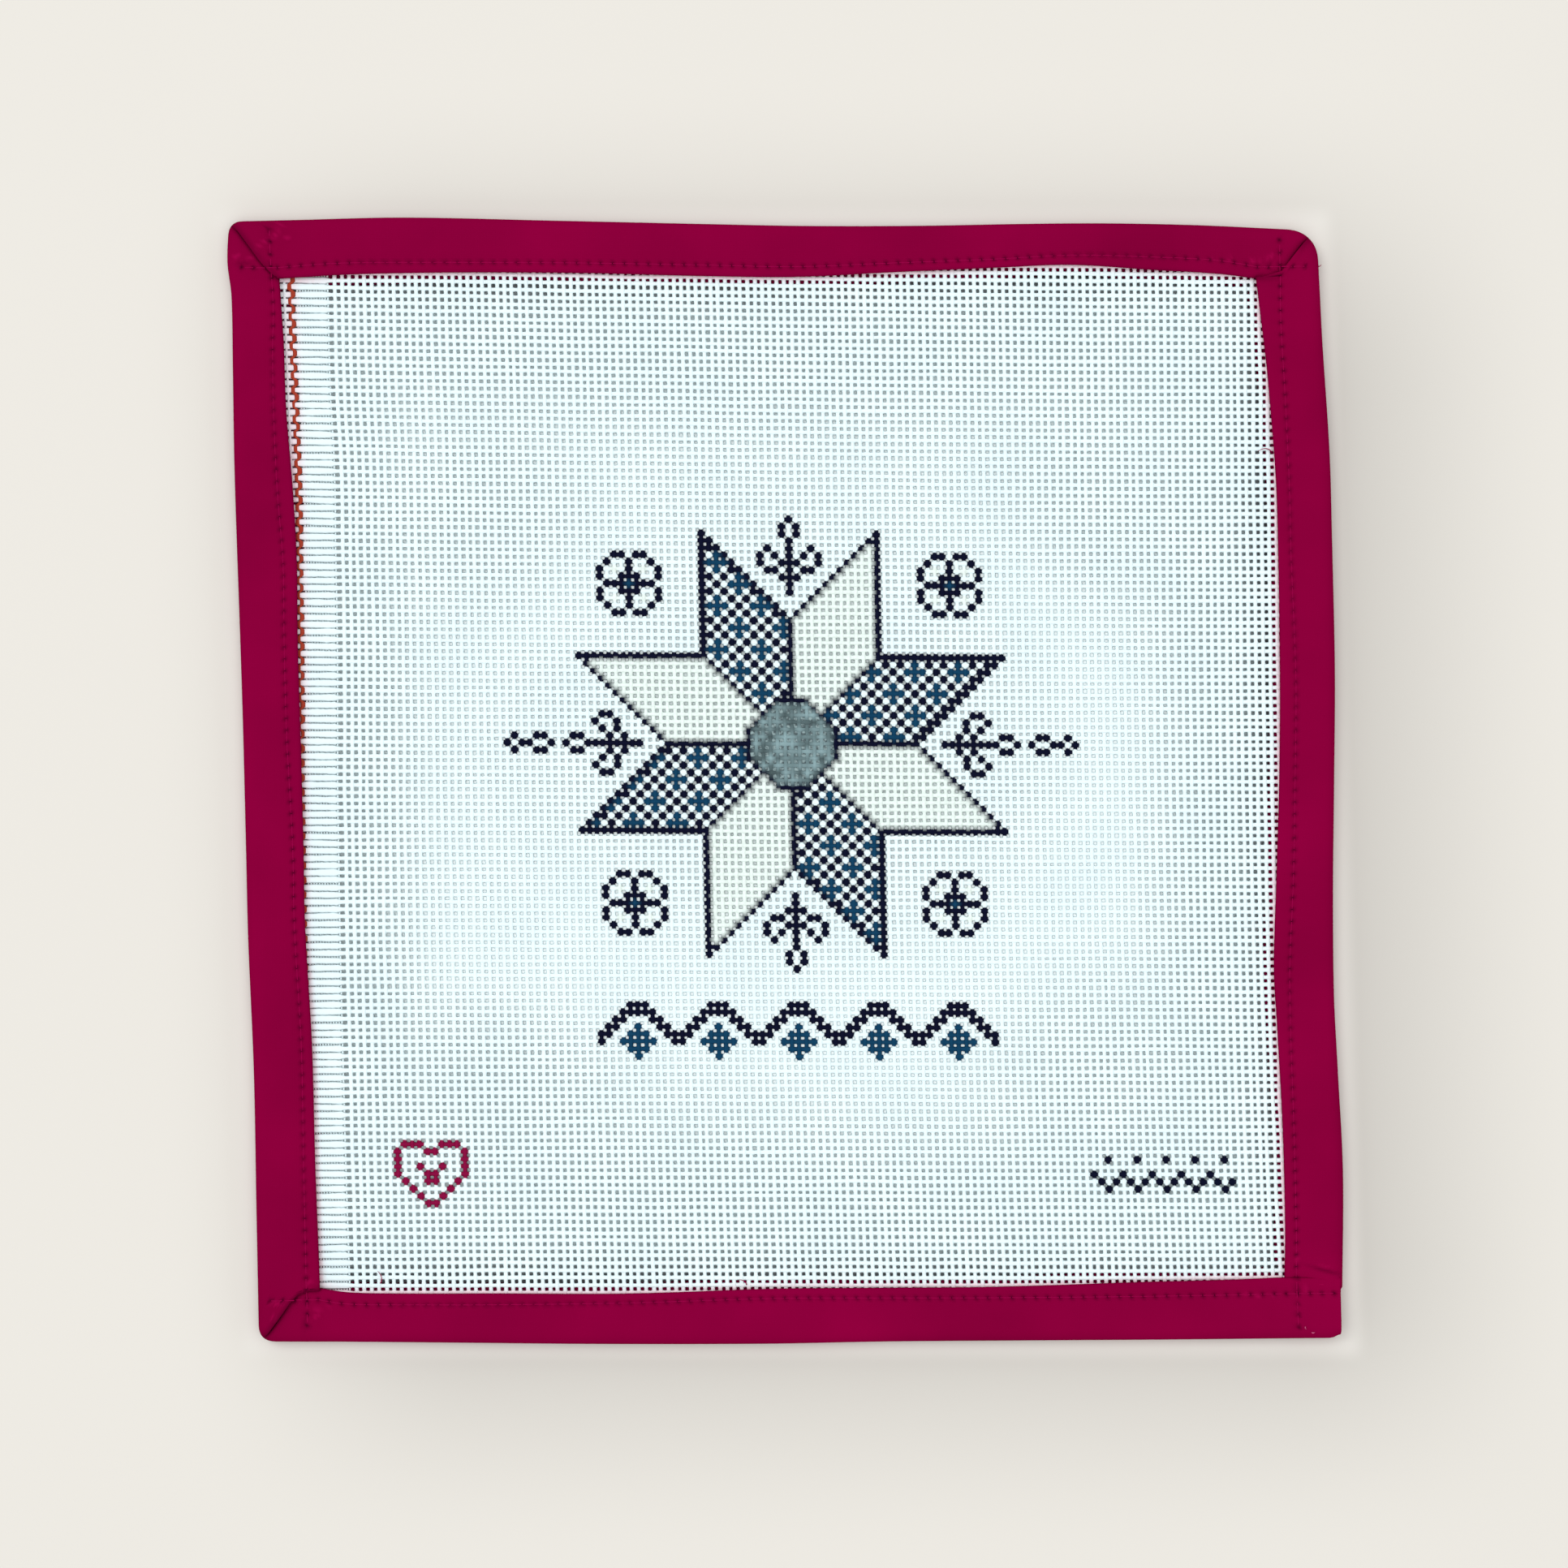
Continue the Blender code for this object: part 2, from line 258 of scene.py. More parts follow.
# The weft. The same sized cotton, thrown across the warp one thread at a time, so
# that a hole of half a thread's pitch or so stays open between every four crossings.
# At the left it turns flat and wide where it packs the selvedge.
SELVEDGE_WARPS = 12
SELVEDGE_FIRST = -61.0  # the selvedge's warp nearest the open weave, in thread numbers
SELVEDGE_PITCH = 0.385
TRACER_MIDDLE = -66.03
EDGE_WARPS = (-66.95, -68.2)
WEFT_END = (-70.6, -69.4)  # its end, and one more point before the edge warps
WIDE_IN_SELVEDGE = (0.645, 0.695)  # mm, at its left and right, so that the slits close
PACKED_WIDTH = (0.05, 3)  # changes, as above
WIDE_AT_EDGE = 0.61
EDGE_WIDTH = (0.06, 2)
FLAT_IN_SELVEDGE = 0.17
SELVEDGE_CRIMP = 0.02
FINE_WARP_SINKS = 0.20  # mm, how far the selvedge's warp lies under its weft

selvedge_columns = SELVEDGE_FIRST - SELVEDGE_PITCH * np.arange(SELVEDGE_WARPS)


def make_weft(name, rows):
    """Weft threads, from the selvedge at the left to the cut edge at the right."""
    beyond = np.array((*WEFT_END, *EDGE_WARPS[::-1], TRACER_MIDDLE))
    open_weave = np.arange(FIRST_WARP - 0.5, LAST_WARP + 0.25, 0.5)
    columns = np.concatenate((beyond, selvedge_columns[::-1], open_weave))
    at_selvedge = len(beyond) + np.arange(SELVEDGE_WARPS)
    packed = np.zeros(len(columns), bool)
    packed[at_selvedge[:-1]] = True
    at_edge = columns <= TRACER_MIDDLE
    at_warp = open_weave == np.round(open_weave)
    crossing = np.concatenate((np.ones(at_selvedge[-1] + 1, bool), at_warp))
    # The warps are counted from the right, so that over and under go on in turn.
    count = np.concatenate((np.arange(len(columns) - len(open_weave)), open_weave))
    count[:at_selvedge[-1] + 1] += FIRST_WARP - at_selvedge[-1] - 1
    r, c = np.meshgrid(rows, columns, indexing="ij")
    x, y = weave_place(c, r)
    crimp = np.where(crossing, np.where(packed | at_edge, SELVEDGE_CRIMP, CRIMP), 0.0)
    z = canvas_lie(x, y) - crimp * over_or_under(count[None, :], r)
    y = y + WANDER * (uneven(*c.shape, *STRAYS) - 1)
    width = np.where(crossing, WIDE_AT_CROSSING, WIDE_BETWEEN)
    width = width * uneven(*c.shape, *WIDTH_SLOWLY)
    ends = (selvedge_columns[-1], selvedge_columns[0])
    wide_here = np.interp(c, ends, WIDE_IN_SELVEDGE)
    width = np.where(packed, wide_here * uneven(*c.shape, *PACKED_WIDTH), width)
    width = np.where(at_edge, WIDE_AT_EDGE * uneven(*c.shape, *EDGE_WIDTH), width)
    width = width * uneven(*c.shape, *WIDTH_QUICKLY)
    thick = np.where(packed | at_edge, FLAT_IN_SELVEDGE, HALF_THICK)
    thick = thick * uneven(*c.shape, *THICKNESS_SLOWLY)
    piece = spin_threads(name, np.stack((x, y, z), axis=-1), np.array((0, -1.0, 0)), width, thick)
    return piece, np.broadcast_to(c, r.shape), r


weft_rows = np.arange(LOWEST_WEFT, HIGHEST_WEFT + 1).astype(float)
half_of_them = len(weft_rows) // 2
weft_lower, *weft_lower_places = make_weft("weft_lower", weft_rows[:half_of_them])
weft_upper, *weft_upper_places = make_weft("weft_upper", weft_rows[half_of_them:])


# The selvedge. Twelve fine warp threads packed side by side, which the weft turns
# round, so that only a thin slit is left between its rows, and two more warps at
# the very edge. They are the same white cotton, woven in with the rest.
FINE_WARP_HALF = 0.20
FINE_WARP_THICK = 0.09
EDGE_WARP_HALF = 0.27
EDGE_WARP_SINKS = 0.02
SELVEDGE_WIDTH = (0.06, 5)  # changes, as for the warp

selvedge_counts = FIRST_WARP - 1 - np.arange(SELVEDGE_WARPS)
edge_counts = (selvedge_counts[-1] - 2, selvedge_counts[-1] - 3)  # the tracer comes between


def make_edge_threads(name, columns, counts, half_width, half_thick, sinks):
    """Upright threads at the woven edge. counts number them on from the open weave's warp,
    which settles where they go over and under."""
    c, r = np.meshgrid(np.array(columns), rows_up, indexing="ij")
    n = np.meshgrid(np.array(counts, float), rows_up, indexing="ij")[0]
    x, y = weave_place(c, r)
    up_and_down = np.where(row_is_weft, SELVEDGE_CRIMP * over_or_under(n, r), 0.0)
    z = canvas_lie(x, y) + up_and_down - sinks
    width = half_width * uneven(*c.shape, *SELVEDGE_WIDTH)
    return spin_threads(name, np.stack((x, y, z), axis=-1), np.array((1.0, 0, 0)), width,
                        half_thick * uneven(*c.shape, *THICKNESS_SLOWLY)), c, r


selvedge_warp, *selvedge_places = make_edge_threads(
    "selvedge_warp", selvedge_columns, selvedge_counts, FINE_WARP_HALF, FINE_WARP_THICK,
    FINE_WARP_SINKS,
)
edge_warp, *edge_places = make_edge_threads(
    "edge_warp", EDGE_WARPS, edge_counts, EDGE_WARP_HALF, HALF_THICK, EDGE_WARP_SINKS,
)


# The tracer. One thread of rust-red cotton that the mill lays up the selvedge's edge
# to mark it. It lies over each weft, and swings from side to side as it goes up.
TRACER_SWING = 0.25  # threads, to each side of its middle
TRACER_HALF = 0.43
TRACER_THICK = 0.15
TRACER_OVER = (0.24, 0.10)  # mm, its height over the middle of the weave, by turns
TRACER_REACH = 0.30  # of a thread's pitch, how far it keeps straight past a weft's middle
TRACER_WIDTH_CHANGES, TRACER_THICKNESS_CHANGES = (0.12, 2), (0.05, 5)


def make_tracer():
    """One thread with two points on each weft, so that it steps across between them."""
    weft = np.repeat(np.arange(LOWEST_WEFT, HIGHEST_WEFT + 1), 2).astype(float)
    r = (weft + TRACER_REACH * np.tile((-1.0, 1.0), len(weft) // 2))[None, :]
    side = over_or_under(0, weft)[None, :]
    c = TRACER_MIDDLE + TRACER_SWING * side
    x, y = weave_place(c, r)
    z = canvas_lie(x, y) + np.where(side > 0, *TRACER_OVER)
    width = TRACER_HALF * uneven(*c.shape, *TRACER_WIDTH_CHANGES)
    thick = TRACER_THICK * uneven(*c.shape, *TRACER_THICKNESS_CHANGES)
    line = np.stack((x, y, z), axis=-1)
    return spin_threads("tracer_thread", line, np.array((1.0, 0, 0)), width, thick), c, r


tracer_thread, *tracer_places = make_tracer()


# The painted chart. The picture to be stitched is painted on the crossings with thin
# acrylic, one stitch to a crossing. It is a traditional eight-pointed star with
# sprigs, over a wavy border with diamonds in it, a heart and a short zigzag.
Paint = namedtuple("Paint", "red green blue")
PAINTS = {  # in linear light
    "navy": Paint(0.0020, 0.0032, 0.020),
    "blue": Paint(0.004, 0.050, 0.115),
    "cream": Paint(0.85, 0.965, 0.925),
    "grey": Paint(0.16, 0.24, 0.255),
    "crimson": Paint(0.25, 0.002, 0.05),
}
STAR_MIDDLE = (1, 5)
STAR_SIDE = 17  # stitches, along each side of a point
MIDDLE_HALF = 6  # of the grey middle
MIDDLE_CORNERS, MIDDLE_EDGE = 0.72, 0.7  # how much its corners are cut, and its edge's width
TRELLIS_STEP = 6
chart = {}


def paint_stitch(column, row, paint):
    chart[(int(round(column)), int(round(row)))] = paint


def paint_line(start, end, paint):
    """One row of stitches from start to end."""
    steps = max(abs(end[0] - start[0]), abs(end[1] - start[1]))
    for n in range(int(steps) + 1):
        share = n / max(steps, 1)
        column, row = (a + (b - a) * share for a, b in zip(start, end))
        paint_stitch(column, row, paint)


def inside(corners, column, row):
    """Whether a crossing lies inside a shape whose corners go round it anticlockwise."""
    barely = 0.01
    ends = corners[1:] + corners[:1]
    return all(
        (b[0] - a[0]) * (row - a[1]) - (b[1] - a[1]) * (column - a[0]) > barely
        for a, b in zip(corners, ends)
    )


def paint_inside(corners, rule):
    """Every crossing inside a shape, in the paint that rule gives for it, if any."""
    low = [int(min(p[k] for p in corners)) - 1 for k in (0, 1)]
    high = [int(max(p[k] for p in corners)) + 1 for k in (0, 1)]
    for column in range(low[0], high[0] + 1):
        for row in range(low[1], high[1] + 1):
            paint = rule(column, row)
            if paint and inside(corners, column, row):
                paint_stitch(column, row, paint)


def trellis(column, row):
    """Crossed slanting lines of navy, with a small blue cross in the middle of each square."""
    rising, falling = (column + row) % TRELLIS_STEP, (column - row) % TRELLIS_STEP
    if rising == 0 or falling == 0:
        return "navy"
    half = TRELLIS_STEP // 2
    from_middle = max(abs(rising - half), abs(falling - half))
    return "blue" if from_middle <= 1 else None


def cream_wash(column, row):
    return "cream"


def paint_outline(corners, paint):
    for a, b in zip(corners, corners[1:] + corners[:1]):
        paint_line(a, b, paint)


def turned(point, quarter):
    """A place turned round the star's middle by quarter turns."""
    across, up = point
    for _ in range(quarter % 4):
        across, up = -up, across
    return STAR_MIDDLE[0] + across, STAR_MIDDLE[1] + up


def paint_star():
    """Eight points of four equal sides, every other one a trellis."""
    slant = round(STAR_SIDE * math.sqrt(0.5))
    right, slanting, up = (STAR_SIDE, 0), (slant, slant), (0, STAR_SIDE)
    tips = ((STAR_SIDE + slant, slant), (slant, STAR_SIDE + slant))
    for quarter in range(4):
        first = [turned(p, quarter) for p in ((0, 0), right, tips[0], slanting)]
        second = [turned(p, quarter) for p in ((0, 0), slanting, tips[1], up)]
        paint_inside(first, trellis)
        paint_inside(second, cream_wash)
        paint_outline(first, "navy")
        paint_outline(second, "navy")


# The small motifs, charted one by one: a sprig that points up, a flower that is the
# same from all four sides, one wave of the border, a heart and a small zigzag.
SPRIG = (
    "....#....",
    "...#.#...",
    "...#.#...",
    "....#....",
    ".#..#..#.",
    "#.#.#.#.#",
    "#..###..#",
    ".##.#.##.",
    "...###...",
    "....#....",
    "....#....",
)
FLOWER = (
    "..##.##..",
    ".#..#..#.",
    "#.c.#.c.#",
    "#..###..#",
    ".###b###.",
    "#..###..#",
    "#.c.#.c.#",
    ".#..#..#.",
    "..##.##..",
)
WAVE = (
    "....###....",
    "...#####...",
    "..##...##..",
    ".##..b..##.",
    "##..bbb..##",
    "#..bbbbb..#",
    "....bbb....",
    ".....b.....",
)
HEART = (
    ".rrr..rrr.",
    "r...rr...r",
    "r........r",
    "r..r..r..r",
    "r...rr...r",
    ".r..rr..r.",
    "..r....r..",
    "...r..r...",
    "....rr....",
)
SMALL_WAVE = (
    "..#.",
    "....",
    "#...",
    ".#.#",
    "..#.",
)
SIDE_SPRIG = (
    ".#.",
    "#.#",
    ".#.",
    ".#.",
    "#.#",
    "#.#",
    ".#.",
)
PAINT_OF_MARK = {"#": "navy", "b": "blue", "c": "cream", "r": "crimson"}


def paint_motif(motif, place):
    """A motif charted above; place gives the crossing for a mark's place from its middle."""
    wide, tall = len(motif[0]), len(motif)
    for n, line in enumerate(motif):
        for m, mark in enumerate(line):
            if mark in PAINT_OF_MARK:
                column, row = place((m - (wide - 1) / 2, (tall - 1) / 2 - n))
                paint_stitch(math.floor(column + 0.5), math.floor(row + 0.5), PAINT_OF_MARK[mark])


SPRIG_OUT, FLOWER_OUT, SIDE_SPRIG_OUT = 26, 22, 36  # stitches from the star's middle


def paint_petals():
    """A flower in each corner of the star, and sprigs out at its four sides."""
    for quarter in range(4):
        paint_motif(SPRIG, lambda p: turned((p[0], p[1] + SPRIG_OUT), quarter))
        paint_motif(FLOWER, lambda p: turned((p[0] + FLOWER_OUT, p[1] + FLOWER_OUT), quarter))
    for quarter in (1, 3):
        paint_motif(SIDE_SPRIG, lambda p: turned((p[0], p[1] + SIDE_SPRIG_OUT), quarter))


def paint_middle():
    """The grey middle of the star, with a navy edge."""
    reach = range(-MIDDLE_HALF, MIDDLE_HALF + 1)
    for column in reach:
        for row in reach:
            slanting = (abs(column) + abs(row)) * MIDDLE_CORNERS
            from_middle = max(abs(column), abs(row), slanting)
            if from_middle <= MIDDLE_HALF:
                paint = "grey" if from_middle < MIDDLE_HALF - MIDDLE_EDGE else "navy"
                paint_stitch(STAR_MIDDLE[0] + column, STAR_MIDDLE[1] + row, paint)


paint_star()
paint_petals()
paint_middle()
BORDER_START, BORDER_HEIGHT, BORDER_WAVES = -21, -34.5, 5
for n in range(BORDER_WAVES):
    wave_middle = BORDER_START + len(WAVE[0]) * n
    paint_motif(WAVE, lambda p: (p[0] + wave_middle, p[1] + BORDER_HEIGHT))
HEART_MIDDLE = (-49.5, -54)
paint_motif(HEART, lambda p: (p[0] + HEART_MIDDLE[0], p[1] + HEART_MIDDLE[1]))
SMALL_ROW_START, SMALL_ROW_HEIGHT, SMALL_WAVES = 42.5, -54, 5
for n in range(SMALL_WAVES):
    wave_middle = SMALL_ROW_START + len(SMALL_WAVE[0]) * n
    paint_motif(SMALL_WAVE, lambda p: (p[0] + wave_middle, p[1] + SMALL_ROW_HEIGHT))

FIRST_CHARTED, LAST_CHARTED = -75, 75
GREY_DAB, OTHER_DAB = (0.4, 1.3), (0.97, 0.03)  # a dab's least strength, and what chance adds
ARM = 0.46  # how much paint reaches halfway to a bare crossing


def charted_arrays():
    """The chart as arrays over all crossings: colour, and cover from 0 to 1. A bare
    crossing beside a painted one takes its colour, so that a stroke fades in one hue."""
    size = LAST_CHARTED - FIRST_CHARTED + 1
    colour, cover = np.zeros((size, size, 3)), np.zeros((size, size))
    for (column, row), paint in chart.items():
        least, more = GREY_DAB if paint == "grey" else OTHER_DAB
        dab = least + more * chance.random()
        colour[column - FIRST_CHARTED, row - FIRST_CHARTED] = np.array(PAINTS[paint]) * dab
        cover[column - FIRST_CHARTED, row - FIRST_CHARTED] = 1.0
    weight = cover.copy()
    total = colour * cover[..., None]
    for axis in (0, 1):
        for step in (-1, 1):
            weight = weight + np.where(cover > 0, 0, np.roll(cover, step, axis))
            rolled = np.roll(colour * cover[..., None], step, axis)
            total = total + np.where(cover[..., None] > 0, 0, rolled)
    colour = np.where(weight[..., None] > 0, total / np.maximum(weight, 1)[..., None], 1.0)
    return colour, cover


chart_colour, chart_cover = charted_arrays()


def lay_paint(piece, columns, rows):
    """Gives a piece of threads its paint, from the chart, as a colour at each point whose
    alpha is the cover. columns and rows hold each thread point's place in the weave."""
    barely = 0.01

    def at(c, r):
        inside_chart = (c >= FIRST_CHARTED) & (c <= LAST_CHARTED)
        m = np.clip(c - FIRST_CHARTED, 0, LAST_CHARTED - FIRST_CHARTED).astype(int)
        n = np.clip(r - FIRST_CHARTED, 0, LAST_CHARTED - FIRST_CHARTED).astype(int)
        whole = inside_chart & (np.abs(c - np.round(c)) < barely)
        return chart_colour[m, n], np.where(whole, chart_cover[m, n], 0.0)

    colour_a, cover_a = at(np.floor(columns + barely), np.floor(rows + barely))
    colour_b, cover_b = at(np.ceil(columns - barely), np.ceil(rows - barely))
    woven = np.abs(2 * columns - np.round(2 * columns)) < barely
    cover = np.where(cover_a + cover_b > 2 - barely, 1.0, (cover_a + cover_b) * ARM)
    same = (np.round(columns) == columns) & (np.round(rows) == rows)
    cover = np.where(same, cover_a, cover) * woven
    weight = cover_a + cover_b
    colour = colour_a * cover_a[..., None] + colour_b * cover_b[..., None]
    colour = np.where(weight[..., None] > 0, colour / np.maximum(weight, 1)[..., None],
                      (colour_a + colour_b) / 2)
    paint = np.concatenate((colour, cover[..., None]), axis=-1)
    paint = np.repeat(paint.reshape(-1, 4), 4, axis=0)
    layer = piece.data.color_attributes.new("paint", "FLOAT_COLOR", "POINT")
    layer.data.foreach_set("color", paint.reshape(-1))


WOVEN_PIECES = (
    (warp_left, warp_left_places),
    (warp_right, warp_right_places),
    (weft_lower, weft_lower_places),
    (weft_upper, weft_upper_places),
    (selvedge_warp, selvedge_places),
    (edge_warp, edge_places),
)
for woven_piece, places in WOVEN_PIECES + ((tracer_thread, tracer_places),):
    lay_paint(woven_piece, *places)


def new_node(tree, kind, **settings):
    node = tree.nodes.new(kind)
    for name, value in settings.items():
        setattr(node, name, value)
    return node


def new_material(name):
    """A material, its nodes, its shader, and the node that gives a place on the panel."""
    material = bpy.data.materials.new(name)
    material.use_nodes = True
    tree = material.node_tree
    return material, tree, tree.nodes["Principled BSDF"], new_node(tree, "ShaderNodeTexCoord")


def new_noise(tree, place, scale, detail=2.0):
    noise = new_node(tree, "ShaderNodeTexNoise")
    noise.inputs["Scale"].default_value = scale
    noise.inputs["Detail"].default_value = detail
    tree.links.new(place.outputs["Object"], noise.inputs["Vector"])
    return noise.outputs["Fac"]


def new_range(tree, value, between, to=(0.0, 1.0), kind="LINEAR"):
    """A value moved from one range to another, and kept inside it."""
    moved = new_node(tree, "ShaderNodeMapRange", interpolation_type=kind)
    moved.inputs["From Min"].default_value, moved.inputs["From Max"].default_value = between
    moved.inputs["To Min"].default_value, moved.inputs["To Max"].default_value = to
    tree.links.new(value, moved.inputs["Value"])
    return moved.outputs[0]


def multiply_add(tree, value, factor, added):
    node = new_node(tree, "ShaderNodeMath", operation="MULTIPLY_ADD")
    node.inputs[1].default_value = factor
    tree.links.new(value, node.inputs[0])
    tree.links.new(added, node.inputs[2])
    return node.outputs[0]


def shade_between(tree, value, stops):
    """Colours that follow a value: stops hold two places on it, each with its colour."""
    ramp = new_node(tree, "ShaderNodeValToRGB")
    for element, (position, colour) in zip(ramp.color_ramp.elements, stops):
        element.position = position
        element.color = (*colour, 1)
    tree.links.new(value, ramp.inputs["Fac"])
    return ramp.outputs["Color"]


def mix_in(tree, share, under, colour):
    """A colour laid over what is under it, by the share that a value gives."""
    mixed = new_node(tree, "ShaderNodeMix", data_type="RGBA")
    mixed.inputs["B"].default_value = (*colour, 1)
    tree.links.new(share, mixed.inputs["Factor"])
    if under is not None:
        tree.links.new(under, mixed.inputs["A"])
    return mixed.outputs["Result"]


def add_bump(tree, shader, height, strength, distance):
    bump = new_node(tree, "ShaderNodeBump")
    bump.inputs["Strength"].default_value = strength
    bump.inputs["Distance"].default_value = distance
    tree.links.new(height, bump.inputs["Height"])
    tree.links.new(bump.outputs["Normal"], shader.inputs["Normal"])


def set_gloss(shader, roughness, shine=0.0):
    shader.inputs["Roughness"].default_value = roughness
    shader.inputs["Specular IOR Level"].default_value = shine


BARE_COTTON = (0.83, 0.96, 0.985)
TRACER_RED = (0.40, 0.050, 0.026)
TAPE_DYE_AND_REFLECTION = (0.88, 0.56, 0.64)
COTTON_ROUGH, TRACER_ROUGH, COTTON_SHINE = 0.7, 0.75, 0.06
CLOUD_SHADE = (0.95, 0.96, 0.97)  # how much darker the cotton is in its darker parts
PAINT_RAGGED, PAINT_EDGE = 0.35, (0.50, 0.66)  # how uneven a stroke's edge is, and its cover
DAB_SPOTS, DAB_SHADES = (0.35, 0.65), (0.90, 1.00)
TWISTS, TWIST_UNEVEN, FIBRES = 90.0, 1.5, 0.6


def sized_cotton(name, bare, roughness):
    """White sized cotton thread: its twist as a fine slanting bump, slight changes of
    shade, the paint's colour where the chart has put it, and pink by the tape from its
    dye and a painted reflection of it."""
    material, tree, shader, place = new_material(name)
    link = tree.links.new
    spots = new_noise(tree, place, 1500.0, 3.0)
    clouds = new_noise(tree, place, 60.0)
    darker = [part * less for part, less in zip(bare, CLOUD_SHADE)]
    shade = shade_between(tree, clouds, ((0.30, darker), (0.65, bare)))

    paint = new_node(tree, "ShaderNodeAttribute", attribute_name="paint")
    ragged = multiply_add(tree, spots, PAINT_RAGGED, paint.outputs["Alpha"])
    dabbed = new_node(tree, "ShaderNodeVectorMath", operation="SCALE")
    link(paint.outputs["Color"], dabbed.inputs[0])
    link(new_range(tree, spots, DAB_SPOTS, DAB_SHADES), dabbed.inputs["Scale"])
    painted = new_node(tree, "ShaderNodeMix", data_type="RGBA")
    link(new_range(tree, ragged, PAINT_EDGE, kind="SMOOTHSTEP"), painted.inputs["Factor"])
    link(shade, painted.inputs["A"])
    link(dabbed.outputs["Vector"], painted.inputs["B"])
    # Pink by the tape: its dye and a painted reflection of the tape; by the tracer, its dye.
    dye_and_reflection = new_node(tree, "ShaderNodeAttribute", attribute_name="dye_and_reflection")
    dyed = mix_in(tree, dye_and_reflection.outputs["Fac"], painted.outputs["Result"], TAPE_DYE_AND_REFLECTION)
    link(dyed, shader.inputs["Base Color"])

    strip = new_node(tree, "ShaderNodeUVMap", uv_map="OFBake")
    twist = new_node(tree, "ShaderNodeTexWave", wave_type="BANDS", bands_direction="DIAGONAL")
    twist.inputs["Scale"].default_value = TWISTS
    twist.inputs["Distortion"].default_value = TWIST_UNEVEN
    link(strip.outputs["UV"], twist.inputs["Vector"])
    fibres = multiply_add(tree, spots, FIBRES, twist.outputs["Fac"])
    add_bump(tree, shader, fibres, 0.35, 0.06 * MM)
    set_gloss(shader, roughness, COTTON_SHINE)
    return material


canvas_cotton = sized_cotton("sized_white_cotton", BARE_COTTON, COTTON_ROUGH)
for woven_piece, places in WOVEN_PIECES:
    woven_piece.data.materials.append(canvas_cotton)
    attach(woven_piece, "root")
tracer_thread.data.materials.append(sized_cotton("rust_tracer_cotton", TRACER_RED, TRACER_ROUGH))
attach(tracer_thread, "root")


# The grey paint's film. In the star's middle the paint is laid on so thickly that
# it dries as a skin across each hole, a little hollow between the threads.
FILM_SIDE = 3  # points along a hole's film
FILM_SAG = 0.10
LEAST_SAG, MORE_SAG = 0.6, 0.8  # shares of it: the least, and what chance adds
FILM_LIFT, FILM_THICK = 0.10, 0.08
GREY_DARK, GREY_LIGHT = (0.055, 0.09, 0.10), (0.27, 0.38, 0.39)


def make_paint_film():
    """One small hollow skin for each hole with grey or navy at its four crossings, at
    least two of them grey.
    """
    points, faces = [], []
    share = np.linspace(-0.5, 0.5, FILM_SIDE)
    for (column, row), paint in sorted(chart.items()):
        round_it = [(column + m, row + n) for m in (0, 1) for n in (0, 1)]
        if any(chart.get(crossing) not in ("grey", "navy") for crossing in round_it):
            continue
        if sum(chart.get(crossing) == "grey" for crossing in round_it) < 2:
            continue
        first = len(points)
        for s in share:
            for t in share:
                x, y = weave_place(column + 0.5 + s, row + 0.5 + t)
                hollow = FILM_SAG * (1 - 4 * s * s) * (1 - 4 * t * t)
                hollow *= LEAST_SAG + MORE_SAG * chance.random()
                lie = float(canvas_lie(np.array(x), np.array(y)))
                points.append((x * MM, y * MM, (lie + FILM_LIFT - hollow) * MM))
        for m in range(FILM_SIDE - 1):
            for n in range(FILM_SIDE - 1):
                a = first + m * FILM_SIDE + n
                faces.append((a, a + FILM_SIDE, a + FILM_SIDE + 1, a + 1))
    mesh = bpy.data.meshes.new("paint_film")
    mesh.from_pydata(points, [], faces)
    mesh.shade_smooth()
    piece = bpy.data.objects.new("paint_film", mesh)
    bpy.context.scene.collection.objects.link(piece)
    skin = piece.modifiers.new("Skin", "SOLIDIFY")
    skin.thickness = FILM_THICK * MM
    skin.offset = -1.0
    return piece


def dried_paint():
    """Matt grey acrylic, a little lighter and darker from brush to brush."""
    material, tree, shader, place = new_material("grey_acrylic")
    dabs = new_noise(tree, place, 1600.0, 3.0)
    shade = shade_between(tree, dabs, ((0.40, GREY_DARK), (0.60, GREY_LIGHT)))
    tree.links.new(shade, shader.inputs["Base Color"])
    shader.inputs["Roughness"].default_value = 0.55
    return material


paint_film = make_paint_film()
paint_film.data.materials.append(dried_paint())
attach(paint_film, "root")


# The binding. One long strip of crimson cotton tape, folded over the canvas's
# four raw edges with its own edges turned under, mitred at three corners, and
# lapped over its start at the bottom right.
TAPE_THICK = 0.42
TAPE_TOP = 3.6  # mm over the table, as high as its solid
FOLD_CENTRE = TAPE_TOP / 2
FOLD_RADIUS = FOLD_CENTRE - TAPE_THICK / 2
PRESSED_TOP = 2.80  # middle of the cloth where the stitching presses it on the canvas
TURNING = 0.44  # from a layer to the turning under it
TURNED_UNDER = 7.0
STITCH = 2.3  # mm from one needle hole to the next
STEPS_A_STITCH = 3
CLOSE_STITCHES = 6  # from each corner, where the columns stand twice as close
ROW_DIP = 0.17  # how far the row of stitches draws the cloth in
HOLE_DIP = 0.26
PLEAT_RISE, PLEAT_RUN = 0.45, 8.0
GROOVE_DEEP, GROOVE_WIDE = 0.40, 1.5
LAP_RISE, LAP_SHORT = 0.45, 0.45
CLIPPED, CLIPPED_RUN = 0.65, 1.8  # mm cut off the lapped end's corner
START_SHORT = 1.2  # mm, the tape's start stops short of the outer fold that laps over it
TUCKED_BACK = 1.0  # how far its own outer fold is drawn back there
TUCKED_HEIGHT, TUCKED_FLAT = 1.50, 0.30  # mm over the table, and how flat it is pressed
BACK_SHOWS = 1.9  # mm, how far the back of the tape reaches past its face
BACK_GROOVE = 0.16
